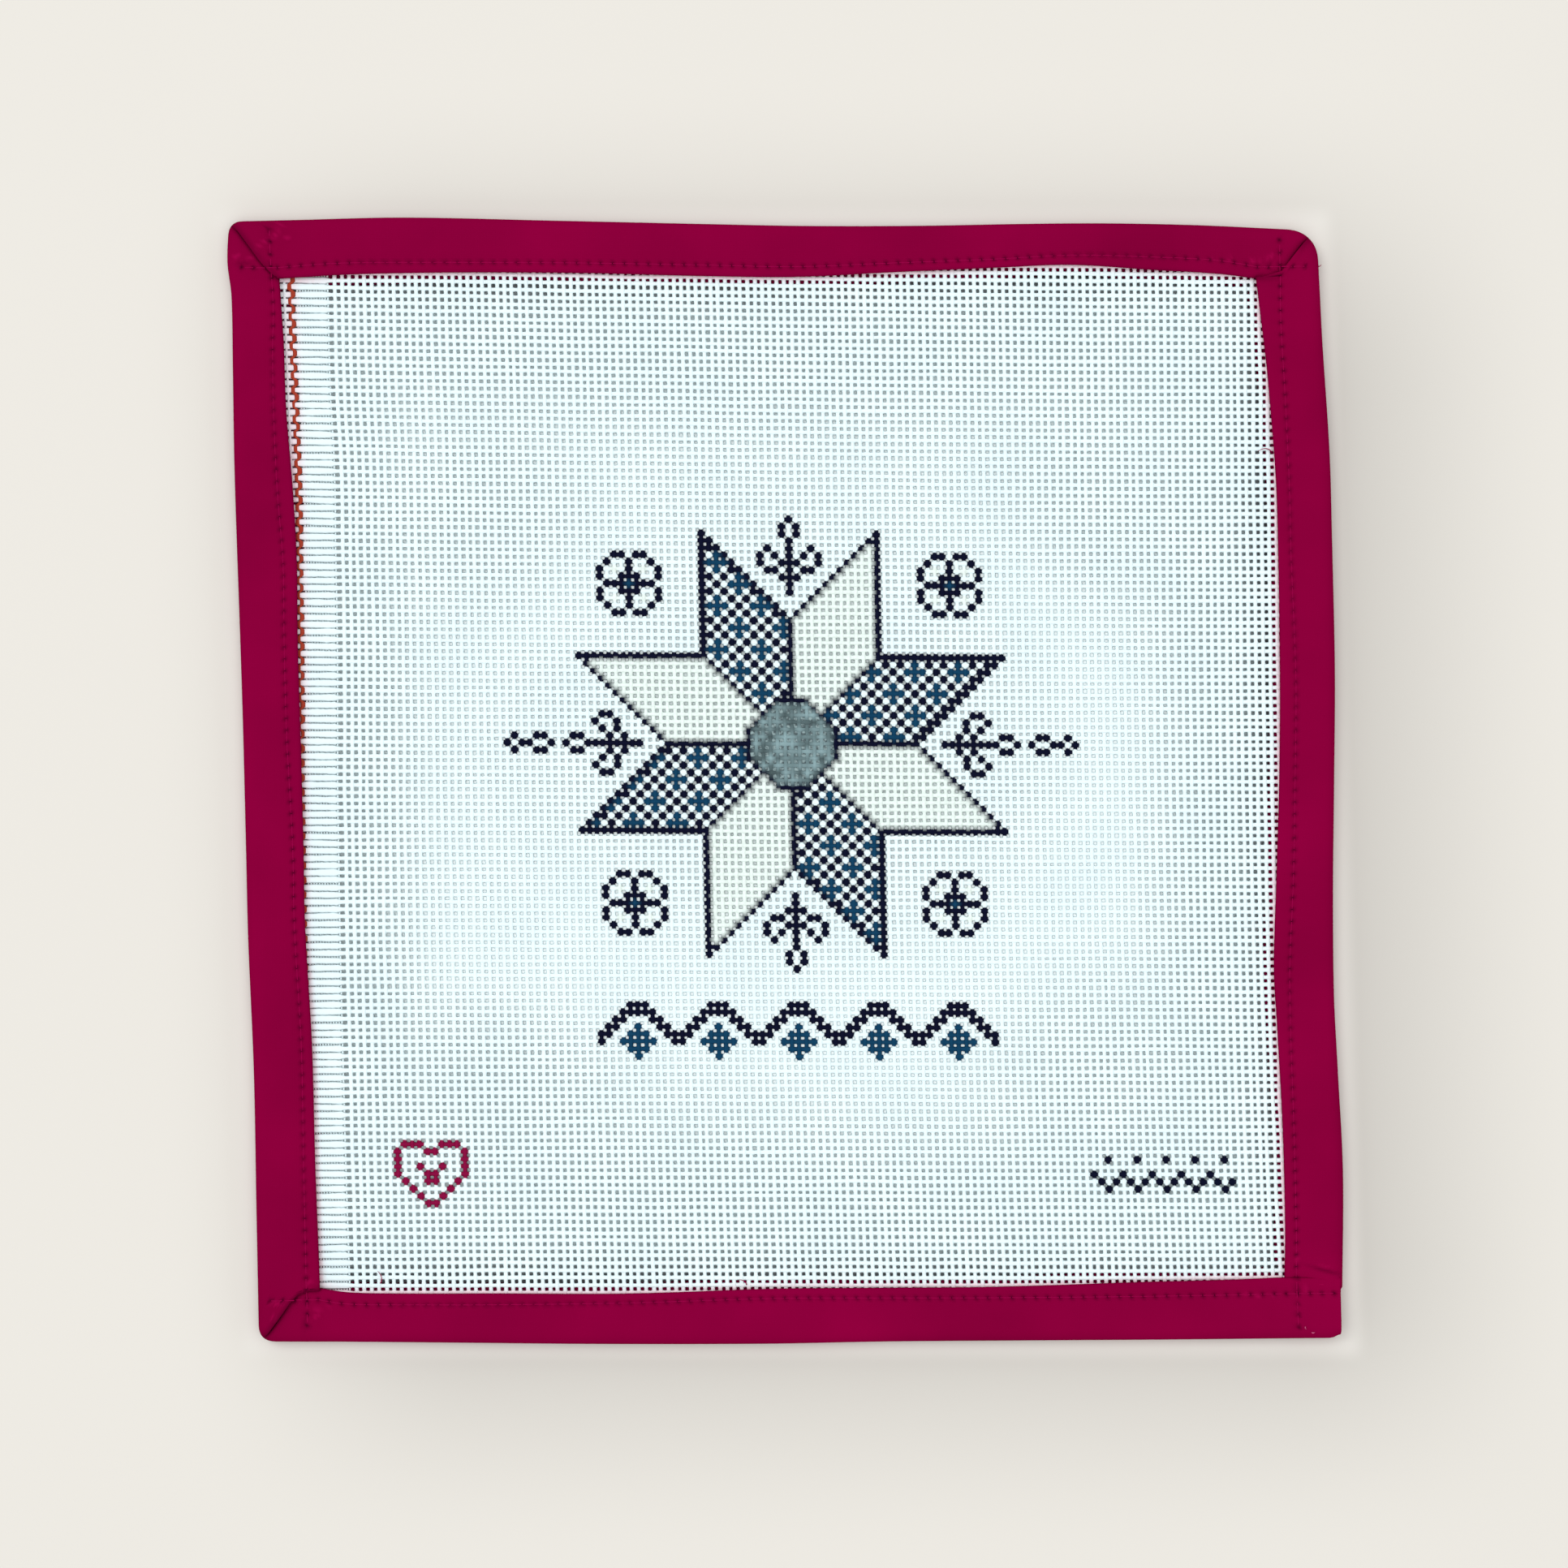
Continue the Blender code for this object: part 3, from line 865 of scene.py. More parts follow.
# Painted shade: how dark a mitre's fold and a crease's hollow are painted.
MITRE_SHADE, MITRE_SOFT = 0.42, 0.75  # a mitre's fold is darker, for so many mm beside it
CREASE_SHADE = 0.40
CREASE_WIDE, CREASE_REACH = 0.42, 1.5  # mm
HOLE_WIDE, HOLE_DIP_BACK = 0.45, 0.08
ROW_DIP_WIDE = 0.7
CLOTH_WAVES = 0.07  # mm, how far the face rises and falls by chance
START_LOW, START_LENGTH, START_RUN = 0.30, 8.0, 6.0  # the start lies low under the lap
LAP_LENGTH, LAP_RUN = 14.0, 4.0
TUCK_FROM, TUCK_RUN = 1.9, 1.2  # mm past the window's corner, and how fast it is tucked in
MITRE_OFF_RUN = 5.0
BACK_AT_CORNER, BACK_RUN = 0.3, 4.0  # mm that the back shows at a corner, and how fast it grows
LEAST_SLANT = 0.6  # so that the row of stitches stays on the tape where its columns fan out
END_STEP = 0.4  # mm, the last column of the lapped end

# The points of a column, in mm: under the face, at its turned edge, from the row of
# stitches out, and on the back. Where the tape is narrow they close up.
TURNED_POINTS = (TURNED_UNDER, 4.0, 1.0)
TURNED_SHARE = 0.8  # of the face's width, the most that is turned under
NOSE_IN, NOSE_OUT, NOSE_LOW, NOSE_HIGH = 0.22, 0.05, 0.04, 0.05
FIRST_POINT, LEAST_APART = 0.6, 0.15
ROUND_ROW = (-0.85, -0.42, 0.0, 0.42, 0.95, 2.0)
FACE_STEPS, FOLD_POINTS = 9, 7
BACK_MIDDLE, BACK_ROUND_ROW = 0.6, 0.9
BACK_NOSE_IN, BACK_NOSE_LOW, BACK_TURNED = 0.25, 0.03, 0.4
FACE_ROWS, BACK_ROWS = slice(6, 21), slice(28, 32)  # of a column's points, counted from the first

# The mitres aren't straight: how far off each is, in mm at its worst, towards the side
# sewn before it, and the share of that along its way out from the window.
MITRE_OFF = {1: 2.1, 2: -0.5, 3: 2.0}
MITRE_SHARES = ((0.0, 0.0), (0.12, 0.6), (0.27, 1.0), (0.45, 0.9), (0.7, 0.45), (1.0, 0.0))

# Creases that the needle has drawn up at the corners, in mm and degrees.
Crease = namedtuple("Crease", "x y heading half_length rise")
CREASES = (
    Crease(-97.4, 107.1, 95, 1.3, 0.26),
    Crease(-98.2, 105.0, 50, 1.0, 0.26),
    Crease(-96.0, 104.4, 25, 1.2, 0.22),
    Crease(-100.2, 103.8, 35, 0.9, 0.24),
    Crease(-101.6, 102.7, 40, 1.0, 0.22),
    Crease(-99.6, 105.9, 80, 1.2, -0.22),
    Crease(-105.7, 100.8, 50, 1.1, 0.26),
    Crease(-104.6, 99.6, 5, 1.4, -0.26),
    Crease(-103.2, 100.6, 15, 1.0, 0.20),
    Crease(79.7, 100.4, 40, 0.7, 0.24),
    Crease(81.9, 100.7, 35, 0.7, 0.22),
    Crease(85.6, 100.4, 30, 0.7, 0.22),
    Crease(89.9, 100.0, 35, 0.8, 0.26),
    Crease(91.6, 100.3, 30, 0.8, 0.26),
    Crease(93.3, 101.0, 40, 0.9, 0.26),
    Crease(-97.9, -100.6, 0, 2.0, 0.26),
    Crease(-89.4, -101.6, 15, 2.0, 0.26),
    Crease(-90.4, -103.1, 45, 0.9, 0.24),
    Crease(-98.7, -103.3, -50, 1.0, 0.22),
    Crease(-91.8, -96.6, 60, 0.9, 0.22),
    Crease(-92.6, -104.4, 80, 1.6, -0.22),
    Crease(103.9, -94.3, -16, 3.4, -0.32),
    Crease(103.6, -93.5, -14, 2.0, 0.20),
    Crease(98.5, -91.9, 85, 1.0, 0.24),
    Crease(102.6, -97.0, 5, 1.4, 0.26),
    Crease(100.2, -98.2, 60, 0.8, 0.24),
    Crease(88.6, -98.9, 20, 0.7, 0.22),
    Crease(91.0, -99.3, 25, 0.7, 0.24),
    Crease(94.0, -99.2, 20, 0.7, 0.24),
)

# The corners in the order of sewing, in mm: the outer corner, how much of it is
# rounded, and the window's corner.
Corner = namedtuple("Corner", "edge_x edge_y round_mm window_x window_y")
CORNERS = (
    Corner(107.3, -107.5, 0.0, 96.3, -95.9),
    Corner(102.4, 106.1, 6.0, 90.7, 97.0),
    Corner(-107.5, 107.9, 2.6, -97.9, 96.9),
    Corner(-101.7, -108.2, 3.2, -90.0, -98.0),
)

# How far each side's outer edge and window edge bow out from straight, and how far
# out from the window the stitches run, in mm.
Station = namedtuple("Station", "along edge window row")
RIGHT_SIDE = (
    Station(0.00, 0.00, 0.00, 2.00),
    Station(0.05, 0.30, 0.40, 1.90),
    Station(0.15, 0.90, 0.50, 1.90),
    Station(0.25, 0.30, 0.00, 2.30),
    Station(0.31, -0.05, -0.30, 2.80),
    Station(0.40, 0.20, 0.70, 3.00),
    Station(0.50, 0.90, 1.80, 2.80),
    Station(0.60, 1.55, 2.50, 2.80),
    Station(0.72, 1.60, 2.85, 2.20),
    Station(0.80, 1.50, 2.80, 2.30),
    Station(0.90, 0.60, 1.80, 2.90),
    Station(0.95, 0.30, 1.00, 3.40),
    Station(1.00, 0.00, 0.00, 4.50),
)
TOP_SIDE = (
    Station(0.00, 0.00, 0.00, 2.00),
    Station(0.04, 0.35, 0.95, 2.30),
    Station(0.11, 0.90, 1.75, 2.20),
    Station(0.19, 1.10, 2.70, 1.60),
    Station(0.26, 0.90, 2.20, 1.40),
    Station(0.37, 0.30, 1.30, 1.50),
    Station(0.47, 0.10, 0.40, 1.70),
    Station(0.56, 0.30, 0.55, 1.85),
    Station(0.70, 0.70, 1.20, 1.65),
    Station(0.84, 1.05, 1.25, 1.70),
    Station(0.94, 0.40, 0.80, 2.00),
    Station(1.00, 0.00, 0.00, 1.90),
)
LEFT_SIDE = (
    Station(0.00, 0.00, 0.00, 1.20),
    Station(0.035, 0.50, -0.20, 1.35),
    Station(0.065, -0.10, -0.35, 1.90),
    Station(0.13, 0.00, -0.30, 2.20),
    Station(0.21, 0.20, -0.95, 2.75),
    Station(0.28, 0.15, -1.15, 2.40),
    Station(0.36, 0.00, -0.70, 2.35),
    Station(0.45, -0.10, -0.52, 2.42),
    Station(0.56, -0.05, -0.22, 1.82),
    Station(0.64, 0.00, 0.10, 1.80),
    Station(0.76, -0.40, -0.30, 1.80),
    Station(0.88, -0.20, 0.00, 2.00),
    Station(1.00, 0.00, 0.00, 2.40),
)
BOTTOM_SIDE = (
    Station(0.00, 0.00, 0.00, 2.00),
    Station(0.03, 0.05, 0.90, 2.00),
    Station(0.08, 0.10, 1.25, 1.90),
    Station(0.18, 0.35, 1.45, 1.90),
    Station(0.32, 0.70, 1.75, 1.55),
    Station(0.47, 0.75, 1.15, 1.60),
    Station(0.58, 0.40, 1.20, 1.70),
    Station(0.70, 0.30, 1.25, 1.85),
    Station(0.85, 0.20, 0.65, 2.50),
    Station(0.95, 0.05, 0.35, 2.70),
    Station(1.00, 0.00, 0.00, 2.90),
)
SIDES = (RIGHT_SIDE, TOP_SIDE, LEFT_SIDE, BOTTOM_SIDE)
BOTTOM = 3


def eased(share):
    """0 to 1 with a soft start and end."""
    share = min(max(share, 0.0), 1.0)
    return share * share * (3.0 - 2.0 * share)


def bow_at(stations, along, column):
    """One column of a side's table, on a smooth curve through its rows, in mm."""
    along = min(max(along, 0.0), 1.0)
    last = len(stations) - 1
    k = 0
    while k < last - 1 and along > stations[k + 1].along:
        k += 1

    def slope(row):
        before, after = stations[max(row - 1, 0)], stations[min(row + 1, last)]
        return (getattr(after, column) - getattr(before, column)) / (after.along - before.along)

    here, there = stations[k], stations[k + 1]
    span = there.along - here.along
    s = (along - here.along) / span
    return (
        getattr(here, column) * (1 + 2 * s) * (1 - s) ** 2
        + getattr(there, column) * s * s * (3 - 2 * s)
        + slope(k) * span * s * (1 - s) ** 2
        + slope(k + 1) * span * s * s * (s - 1)
    )


def inwards(way):
    """The panel's inner side of a direction round it, which runs anticlockwise."""
    return Vector((-way.y, way.x))


def edge_corner(k, inset):
    """An outer corner, moved in from both of its sides by inset."""
    before, here, after = (
        Vector((CORNERS[j % 4].edge_x, CORNERS[j % 4].edge_y)) for j in (k - 1, k, k + 1)
    )
    from_side = inwards((here - before).normalized())
    to_side = inwards((after - here).normalized())
    return here + (from_side + to_side) * inset / (1 + from_side.dot(to_side))


def edge_point(k, along, inset):
    """A point of the outline of side k, with round corners, moved in by inset. The
    tape's cut ends at the lap are square to their sides."""
    start, end = edge_corner(k, inset), edge_corner(k + 1, inset)
    way = (end - start).normalized()
    lap = Vector((CORNERS[0].edge_x, CORNERS[0].edge_y)) + inwards(way) * inset
    if k == 0:
        start = lap
    if k == BOTTOM:
        end = lap
    length = (end - start).length
    point = start.lerp(end, along)
    for corner, other, left in (
        (k, edge_corner(k - 1, inset), along * length),
        (k + 1, edge_corner(k + 2, inset), (1 - along) * length),
    ):
        rounding = max(CORNERS[corner % 4].round_mm - inset, 0.0)
        if left < rounding:
            tip = edge_corner(corner, inset)
            own = tip + (way if corner == k else -way) * rounding
            next_door = tip + (other - tip).normalized() * rounding
            s = 0.5 + 0.5 * left / rounding
            point = own * s * s + tip * 2 * s * (1 - s) + next_door * (1 - s) ** 2
    return point - inwards(way) * bow_at(SIDES[k], along, "edge")


def window_point(k, along):
    """A point of the tape's inner edge on side k; past the corner it runs straight on."""
    start, end = (Vector((CORNERS[j % 4].window_x, CORNERS[j % 4].window_y)) for j in (k, k + 1))
    way = (end - start).normalized()
    return start + (end - start) * along - inwards(way) * bow_at(SIDES[k], along, "window")


def window_corner(k):
    return Vector((CORNERS[k % 4].window_x, CORNERS[k % 4].window_y))


def side_lengths(k):
    """Side k's outer and window lengths, and how far along the outer edge the window starts."""
    edge_start, edge_end = edge_corner(k, 0), edge_corner(k + 1, 0)
    way = (edge_end - edge_start).normalized()
    before = (window_corner(k) - edge_start).dot(way)
    return (edge_end - edge_start).length, (window_corner(k + 1) - window_corner(k)).length, before


def edge_share(k, window_share):
    """The share along the outer edge that lies straight across from one along the window."""
    edge_length, window_length, before = side_lengths(k)
    return (before + window_length * window_share) / edge_length


# Where the columns that fan out round a corner stand, as shares from its mitre.
FAN = (0.012, 0.03, 0.065, 0.13, 0.2, 0.27, 0.34, 0.41, 0.48, 0.55, 0.62, 0.69, 0.76, 0.84, 0.92)
FAN_WINDOW_STEP = 0.0001


def stitches_along(k):
    return round(side_lengths(k)[1] / STITCH)


def side_steps(k):
    """Shares along the outer edge and the window for each column of side k. They stand
    square to the window, three to a stitch, and fan out round its corners to the mitres.
    The tape starts past the window's corner, tucked in where its end laps over it."""
    edge_length, window_length, before = side_lengths(k)
    steps = stitches_along(k) * STEPS_A_STITCH
    first = -int((before - START_SHORT) / window_length * steps) if k == 0 else 0.5
    near = CLOSE_STITCHES * STEPS_A_STITCH
    halves = [n / 2 for n in range(int(2 * first), 2 * steps)]
    shares = [n / steps for n in halves if n == int(n) or min(n, steps - n) < near]
    pairs = [(edge_share(k, share), share) for share in shares]
    if k > 0:
        reach = edge_share(k, 0)
        pairs = [(reach * s, FAN_WINDOW_STEP * n) for n, s in enumerate(FAN)] + pairs
    if k < BOTTOM:
        reach = 1 - edge_share(k, 1)
        pairs += [(1 - reach * s, 1 - FAN_WINDOW_STEP * n) for n, s in enumerate(FAN)][::-1]
        pairs.append((1.0, 1.0))
    else:
        overhang = edge_length - before - window_length - LAP_SHORT
        past = int(overhang / window_length * steps)
        pairs += [(edge_share(k, 1 + n / steps), 1 + n / steps) for n in range(past)]
        end = 1 + overhang / window_length
        pairs += [(edge_share(k, share), share) for share in (end - END_STEP / window_length, end)]
    return pairs


def crease_rise(place):
    """How much the creases in the cloth lift it at a place."""
    rise = 0.0
    for crease in CREASES:
        away = place - Vector((crease.x, crease.y))
        if away.length < crease.half_length + CREASE_REACH:
            heading = math.radians(crease.heading)
            way = Vector((math.cos(heading), math.sin(heading)))
            along, across = away.dot(way), away.dot(inwards(way))
            fade = -((along / crease.half_length) ** 2) - (across / CREASE_WIDE) ** 2
            rise += crease.rise * math.exp(fade)
    return rise


Wave = namedtuple("Wave", "size times shift side_shift")
WAVES = (Wave(1.0, 7.3, 1.0, 1), Wave(0.7, 13.1, 2.1, 3), Wave(0.5, 29.0, 1.3, 5))


def soft_wave(k, along):
    """Slow rises and falls of the cloth along a side, about zero and of size 1."""
    return sum(
        wave.size * math.sin(wave.times * along * math.tau + wave.shift + wave.side_shift * k)
        for wave in WAVES
    ) / 1.5


def fold_and_lap(k, past_mitre, to_mitre, from_start, from_end):
    """Height that the mitres and the lap add: up at a mitre's pleat, with a groove past it."""
    rise = 0.0
    if k > 0:
        rise -= GROOVE_DEEP * (1 - eased(past_mitre / GROOVE_WIDE))
    if k < BOTTOM:
        rise += PLEAT_RISE * (1 - eased(to_mitre / PLEAT_RUN))
    if k == 0:
        rise -= START_LOW * (1 - eased((from_start - START_LENGTH) / START_RUN))
    if k == BOTTOM:
        rise += LAP_RISE * eased((LAP_LENGTH - from_end) / LAP_RUN)
    return rise


def tape_column(k, edge_along, window_along):
    """The tape's folded section at one place along side k, as points in mm, from the
    turning under its face, over the face, round the outer fold, to the turning at its back."""
    inner = window_point(k, window_along)
    length, window_length, _ = side_lengths(k)
    from_start, from_end = edge_along * length, (1 - edge_along) * length
    window_from_start = max(window_along * window_length, 0.0)
    window_from_end = max((1 - window_along) * window_length, 0.0)
    tucked = eased((-window_along * window_length - TUCK_FROM) / TUCK_RUN) if k == 0 else 0.0
    clipped = TUCKED_BACK * tucked
    if k == BOTTOM:
        clipped = CLIPPED * (1 - eased((from_end - LAP_SHORT) / CLIPPED_RUN))
    outer = edge_point(k, edge_along, FOLD_CENTRE + clipped)
    wide = (outer - inner).length
    out = (outer - inner) / max(wide, 0.001)
    square = -inwards((window_corner(k + 1) - window_corner(k)).normalized())
    row = bow_at(SIDES[k], window_along, "row") / max(out.dot(square), LEAST_SLANT)
    flat_top = FOLD_CENTRE + FOLD_RADIUS
    bend = MITRE_OFF.get(k + 1, 0) * math.exp(-((from_end / MITRE_OFF_RUN) ** 2))
    bend += MITRE_OFF.get(k, 0) * math.exp(-((from_start / MITRE_OFF_RUN) ** 2))
    back_shows = eased(min(window_from_start, window_from_end) / BACK_RUN)
    back_shows = BACK_AT_CORNER + (BACK_SHOWS - BACK_AT_CORNER) * back_shows
    points = []

    def face(distance, drop=0.0):
        share = eased((distance - row) / (wide - row))
        height = PRESSED_TOP + (flat_top - PRESSED_TOP) * share
        height -= ROW_DIP * math.exp(-((distance - row) / ROW_DIP_WIDE) ** 2)
        swell = CLOTH_WAVES * soft_wave(k, edge_along)
        height += swell * math.sin(math.pi * min(distance / wide, 1))
        out_share = distance / wide
        place = inner + out * distance
        place -= inwards(out) * bend * float(np.interp(out_share, *zip(*MITRE_SHARES)))
        height += crease_rise(place) + fold_and_lap(
            k, window_from_start * (1 - out_share) + from_start * out_share,
            window_from_end * (1 - out_share) + from_end * out_share, from_start, from_end,
        )
        return (place.x, place.y, height - drop)

    for distance in TURNED_POINTS:
        points.append(face(min(distance, wide * TURNED_SHARE), TURNING))
    nose = inner - out * NOSE_OUT
    low, high = face(NOSE_IN, TURNING - NOSE_LOW), face(NOSE_IN, NOSE_HIGH)
    points.append(low)
    points.append((nose.x, nose.y, (low[2] + high[2]) / 2))
    points.append(high)
    reached = 0.0
    for distance in (FIRST_POINT, *(row + apart for apart in ROUND_ROW)):
        reached = max(distance, reached + LEAST_APART)
        points.append(face(reached))
    rest = row + ROUND_ROW[-1]
    added = fold_and_lap(k, from_start, from_end, from_start, from_end)
    for n in range(1, FACE_STEPS):
        points.append(face(rest + (wide - rest) * n / FACE_STEPS))
    for n in range(FOLD_POINTS):
        angle = math.pi * (0.5 - n / (FOLD_POINTS - 1))
        inset = FOLD_CENTRE + clipped - FOLD_RADIUS * math.cos(angle)
        place = edge_point(k, edge_along, inset)
        lift = max(math.sin(angle), 0.0)
        height = FOLD_CENTRE + FOLD_RADIUS * math.sin(angle)
        points.append((place.x, place.y, height + (added + crease_rise(place)) * lift))

    bottom = TAPE_THICK / 2
    back_edge = inner - out * back_shows
    near = back_edge + out * BACK_NOSE_IN
    for place, height in (
        (inner + out * (wide * BACK_MIDDLE), bottom),
        (inner + out * (row + BACK_ROUND_ROW), bottom),
        (inner + out * row, bottom + BACK_GROOVE),
        (inner + out * (row - BACK_ROUND_ROW), bottom),
        (near, bottom + BACK_NOSE_LOW),
        (back_edge, bottom + TURNING / 2),
        (near, bottom + TURNING - BACK_NOSE_LOW),
        (inner + out * BACK_TURNED, bottom + TURNING),
        (inner + out * (min(TURNED_UNDER, wide * TURNED_SHARE) - back_shows), bottom + TURNING),
    ):
        points.append((place.x, place.y, height))
    if tucked > 0:
        flat = [TUCKED_HEIGHT + (z - FOLD_CENTRE) * TUCKED_FLAT for x, y, z in points]
        points = [(x, y, z + (low - z) * tucked) for (x, y, z), low in zip(points, flat)]
    return points


def tape_columns():
    """Every column of the tape in the order of sewing, and the place of each mitre in it."""
    sides = [[tape_column(k, *shares) for shares in side_steps(k)] for k in range(4)]
    mitres = np.cumsum([len(side) for side in sides])[:BOTTOM]
    return np.array([column for side in sides for column in side]), mitres


ROW_STOPS = 0.9  # mm in from the outer edge
PAST_CORNER = 6  # stitches, the most that a row runs on past the window's corner


def stitch_rows():
    """The needle holes of the four rows, in mm: each row runs straight on over the
    corners to the outer edge."""
    limits = [edge_corner(j, ROW_STOPS) for j in range(4)]
    ways = [(limits[(j + 1) % 4] - limits[j]).normalized() for j in range(4)]
    rows = []
    for k in range(4):
        stitches = stitches_along(k)
        line = []
        for n in range(-PAST_CORNER, stitches + PAST_CORNER + 1):
            along, little = n / stitches, 0.002
            inner = window_point(k, along)
            way = window_point(k, along + little) - window_point(k, along - little)
            way.normalize()
            point = inner - inwards(way) * bow_at(SIDES[k], along, "row")
            if all(inwards(ways[j]).dot(point - limits[j]) > 0 for j in range(4)):
                line.append(point)
        rows.append(np.array(line))
    return rows


needle_rows = stitch_rows()
needle_holes = KDTree(sum(len(row) for row in needle_rows))
for n, hole in enumerate(np.concatenate(needle_rows)):
    needle_holes.insert((hole[0], hole[1], 0.0), n)
needle_holes.balance()


# The creases' ridges get a painted highlight, and their hollows painted shade.
CREASE_DEEP = 0.28  # mm, where a hollow is darkest
HIGHLIGHT_RISE, HIGHLIGHT_FROM = 0.16, 0.5  # mm, and the share of it where the painted highlight starts to show


def make_binding():
    """The folded tape, with its needle holes, painted shade in them, in the mitres and in
    the hollows, and a painted highlight on the creases' ridges.
    """
    columns, mitres = tape_columns()
    around, across = columns.shape[:2]
    # Painted shade beside each mitre's fold.
    mitre_painted_shade = np.zeros((around, across))
    for mitre in mitres:
        apart = np.linalg.norm(columns[:, :, :2] - columns[mitre, None, :, :2], axis=-1)
        mitre_painted_shade = np.maximum(mitre_painted_shade, MITRE_SHADE * np.exp(-((apart / MITRE_SOFT) ** 2)))
    near_hole = np.zeros((around, across))
    for m in range(around):
        for n in range(across):
            x, y, z = columns[m, n]
            apart = needle_holes.find((x, y, 0.0))[2]
            near_hole[m, n] = math.exp(-((apart / HOLE_WIDE) ** 2))
    columns[:, FACE_ROWS, 2] -= HOLE_DIP * near_hole[:, FACE_ROWS]
    columns[:, BACK_ROWS, 2] += HOLE_DIP_BACK * near_hole[:, BACK_ROWS]
    index = np.arange(around * across).reshape(around, across)
    faces = np.stack((index[:-1, :-1], index[:-1, 1:], index[1:, 1:], index[1:, :-1]), axis=-1)
    mesh = bpy.data.meshes.new("binding_tape")
    mesh.from_pydata((columns.reshape(-1, 3) * MM).tolist(), [], faces.reshape(-1, 4).tolist())
    mesh.shade_smooth()
    u = index // across / (around - 1)
    v = index % across / (across - 1)
    corners = faces.reshape(-1)
    mesh.uv_layers.new(name="OFBake").data.foreach_set(
        "uv", np.stack((u.reshape(-1)[corners], v.reshape(-1)[corners]), axis=-1).reshape(-1)
    )
    creased = np.array([crease_rise(Vector((x, y))) for x, y, z in columns.reshape(-1, 3)])
    # Painted shade in and round the needle holes, beside the mitres and in the hollows.
    painted_shade = np.maximum(near_hole, mitre_painted_shade).reshape(-1)
    painted_shade = np.maximum(painted_shade, CREASE_SHADE * np.clip(-creased / CREASE_DEEP, 0, 1))
    # Painted highlight: the creases' ridges are painted lighter.
    painted_highlight = np.clip(creased / HIGHLIGHT_RISE - HIGHLIGHT_FROM, 0, 1)
    for name, values in (("painted_shade", painted_shade), ("painted_highlight", painted_highlight)):
        mesh.attributes.new(name, "FLOAT", "POINT").data.foreach_set("value", values)
    piece = bpy.data.objects.new("binding_tape", mesh)
    bpy.context.scene.collection.objects.link(piece)
    cloth = piece.modifiers.new("Cloth thickness", "SOLIDIFY")
    cloth.thickness = TAPE_THICK * MM
    cloth.offset = 0.0
    return piece


TAPE_DARK, TAPE_LIGHT = (0.207, 0.0003, 0.0350), (0.250, 0.0003, 0.0420)
TAPE_PAINTED_HIGHLIGHT, TAPE_PAINTED_SHADE = (0.31, 0.0018, 0.057), (0.050, 0.0003, 0.011)
TAPE_THREADS, TAPE_THREADS_UNEVEN = 900.0, 0.6
TAPE_ROUGH = 0.9


def crimson_tape_cotton():
    """Plain-woven crimson cotton: fine crossing threads as bump, slow changes of shade, a
    painted highlight on its creases, and painted shade in holes, mitres and hollows."""
    material, tree, shader, place = new_material("crimson_tape_cotton")
    slow = new_noise(tree, place, 35.0, 3.0)
    shade = shade_between(tree, slow, ((0.30, TAPE_DARK), (0.70, TAPE_LIGHT)))
    # A painted highlight on the creases' ridges, and painted shade in holes, mitres and hollows.
    for attribute, colour in (("painted_highlight", TAPE_PAINTED_HIGHLIGHT), ("painted_shade", TAPE_PAINTED_SHADE)):
        where = new_node(tree, "ShaderNodeAttribute", attribute_name=attribute)
        shade = mix_in(tree, where.outputs["Fac"], shade, colour)
    tree.links.new(shade, shader.inputs["Base Color"])
    crossed = new_node(tree, "ShaderNodeMath", operation="MAXIMUM")
    for direction, taken_in in zip(("X", "Y"), crossed.inputs):
        band = new_node(tree, "ShaderNodeTexWave", wave_type="BANDS", bands_direction=direction)
        band.inputs["Scale"].default_value = TAPE_THREADS
        band.inputs["Distortion"].default_value = TAPE_THREADS_UNEVEN
        band.inputs["Detail"].default_value = 1.0
        tree.links.new(place.outputs["Object"], band.inputs["Vector"])
        tree.links.new(band.outputs["Fac"], taken_in)
    add_bump(tree, shader, crossed.outputs[0], 0.4, 0.08 * MM)
    set_gloss(shader, TAPE_ROUGH)
    return material


binding_tape = make_binding()
tape_cotton = crimson_tape_cotton()
binding_tape.data.materials.append(tape_cotton)
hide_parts("binding")
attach(binding_tape, "root")

# The tape's dye and a painted reflection of the tape turn the first threads beside
# it pink, and the tracer's dye those beside it.
WINDOW_POINTS = 200  # along each side
BLUSH_MOST, BLUSH_RUN = 0.8, 0.8  # the run in mm
TRACER_BLUSH, TRACER_BLUSH_RUN = 0.55, 0.9  # the run in threads
NO_BLUSH_X, NO_BLUSH_Y = 84, 90  # mm from the middle, well inside the window
window_line = KDTree(4 * WINDOW_POINTS)
for k in range(4):
    for n in range(WINDOW_POINTS):
        point = window_point(k, n / WINDOW_POINTS)
        window_line.insert((point.x, point.y, 0), k * WINDOW_POINTS + n)
window_line.balance()
for woven_piece, places in WOVEN_PIECES + ((tracer_thread, tracer_places),):
    x, y = weave_place(*places)
    dye_and_reflection = np.zeros(x.shape)
    near_edge = (np.abs(x) > NO_BLUSH_X) | (np.abs(y) > NO_BLUSH_Y)
    if woven_piece is not tracer_thread:
        for m, n in zip(*np.nonzero(near_edge)):
            apart = window_line.find((x[m, n], y[m, n], 0))[2]
            dye_and_reflection[m, n] = BLUSH_MOST * math.exp(-((apart / BLUSH_RUN) ** 2))
        from_tracer = np.abs(places[0] - TRACER_MIDDLE) / TRACER_BLUSH_RUN
        dye_and_reflection = np.maximum(dye_and_reflection, TRACER_BLUSH * np.exp(-(from_tracer**2)))
    layer = woven_piece.data.attributes.new("dye_and_reflection", "FLOAT", "POINT")
    layer.data.foreach_set("value", np.repeat(dye_and_reflection.reshape(-1), 4))

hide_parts("canvas")


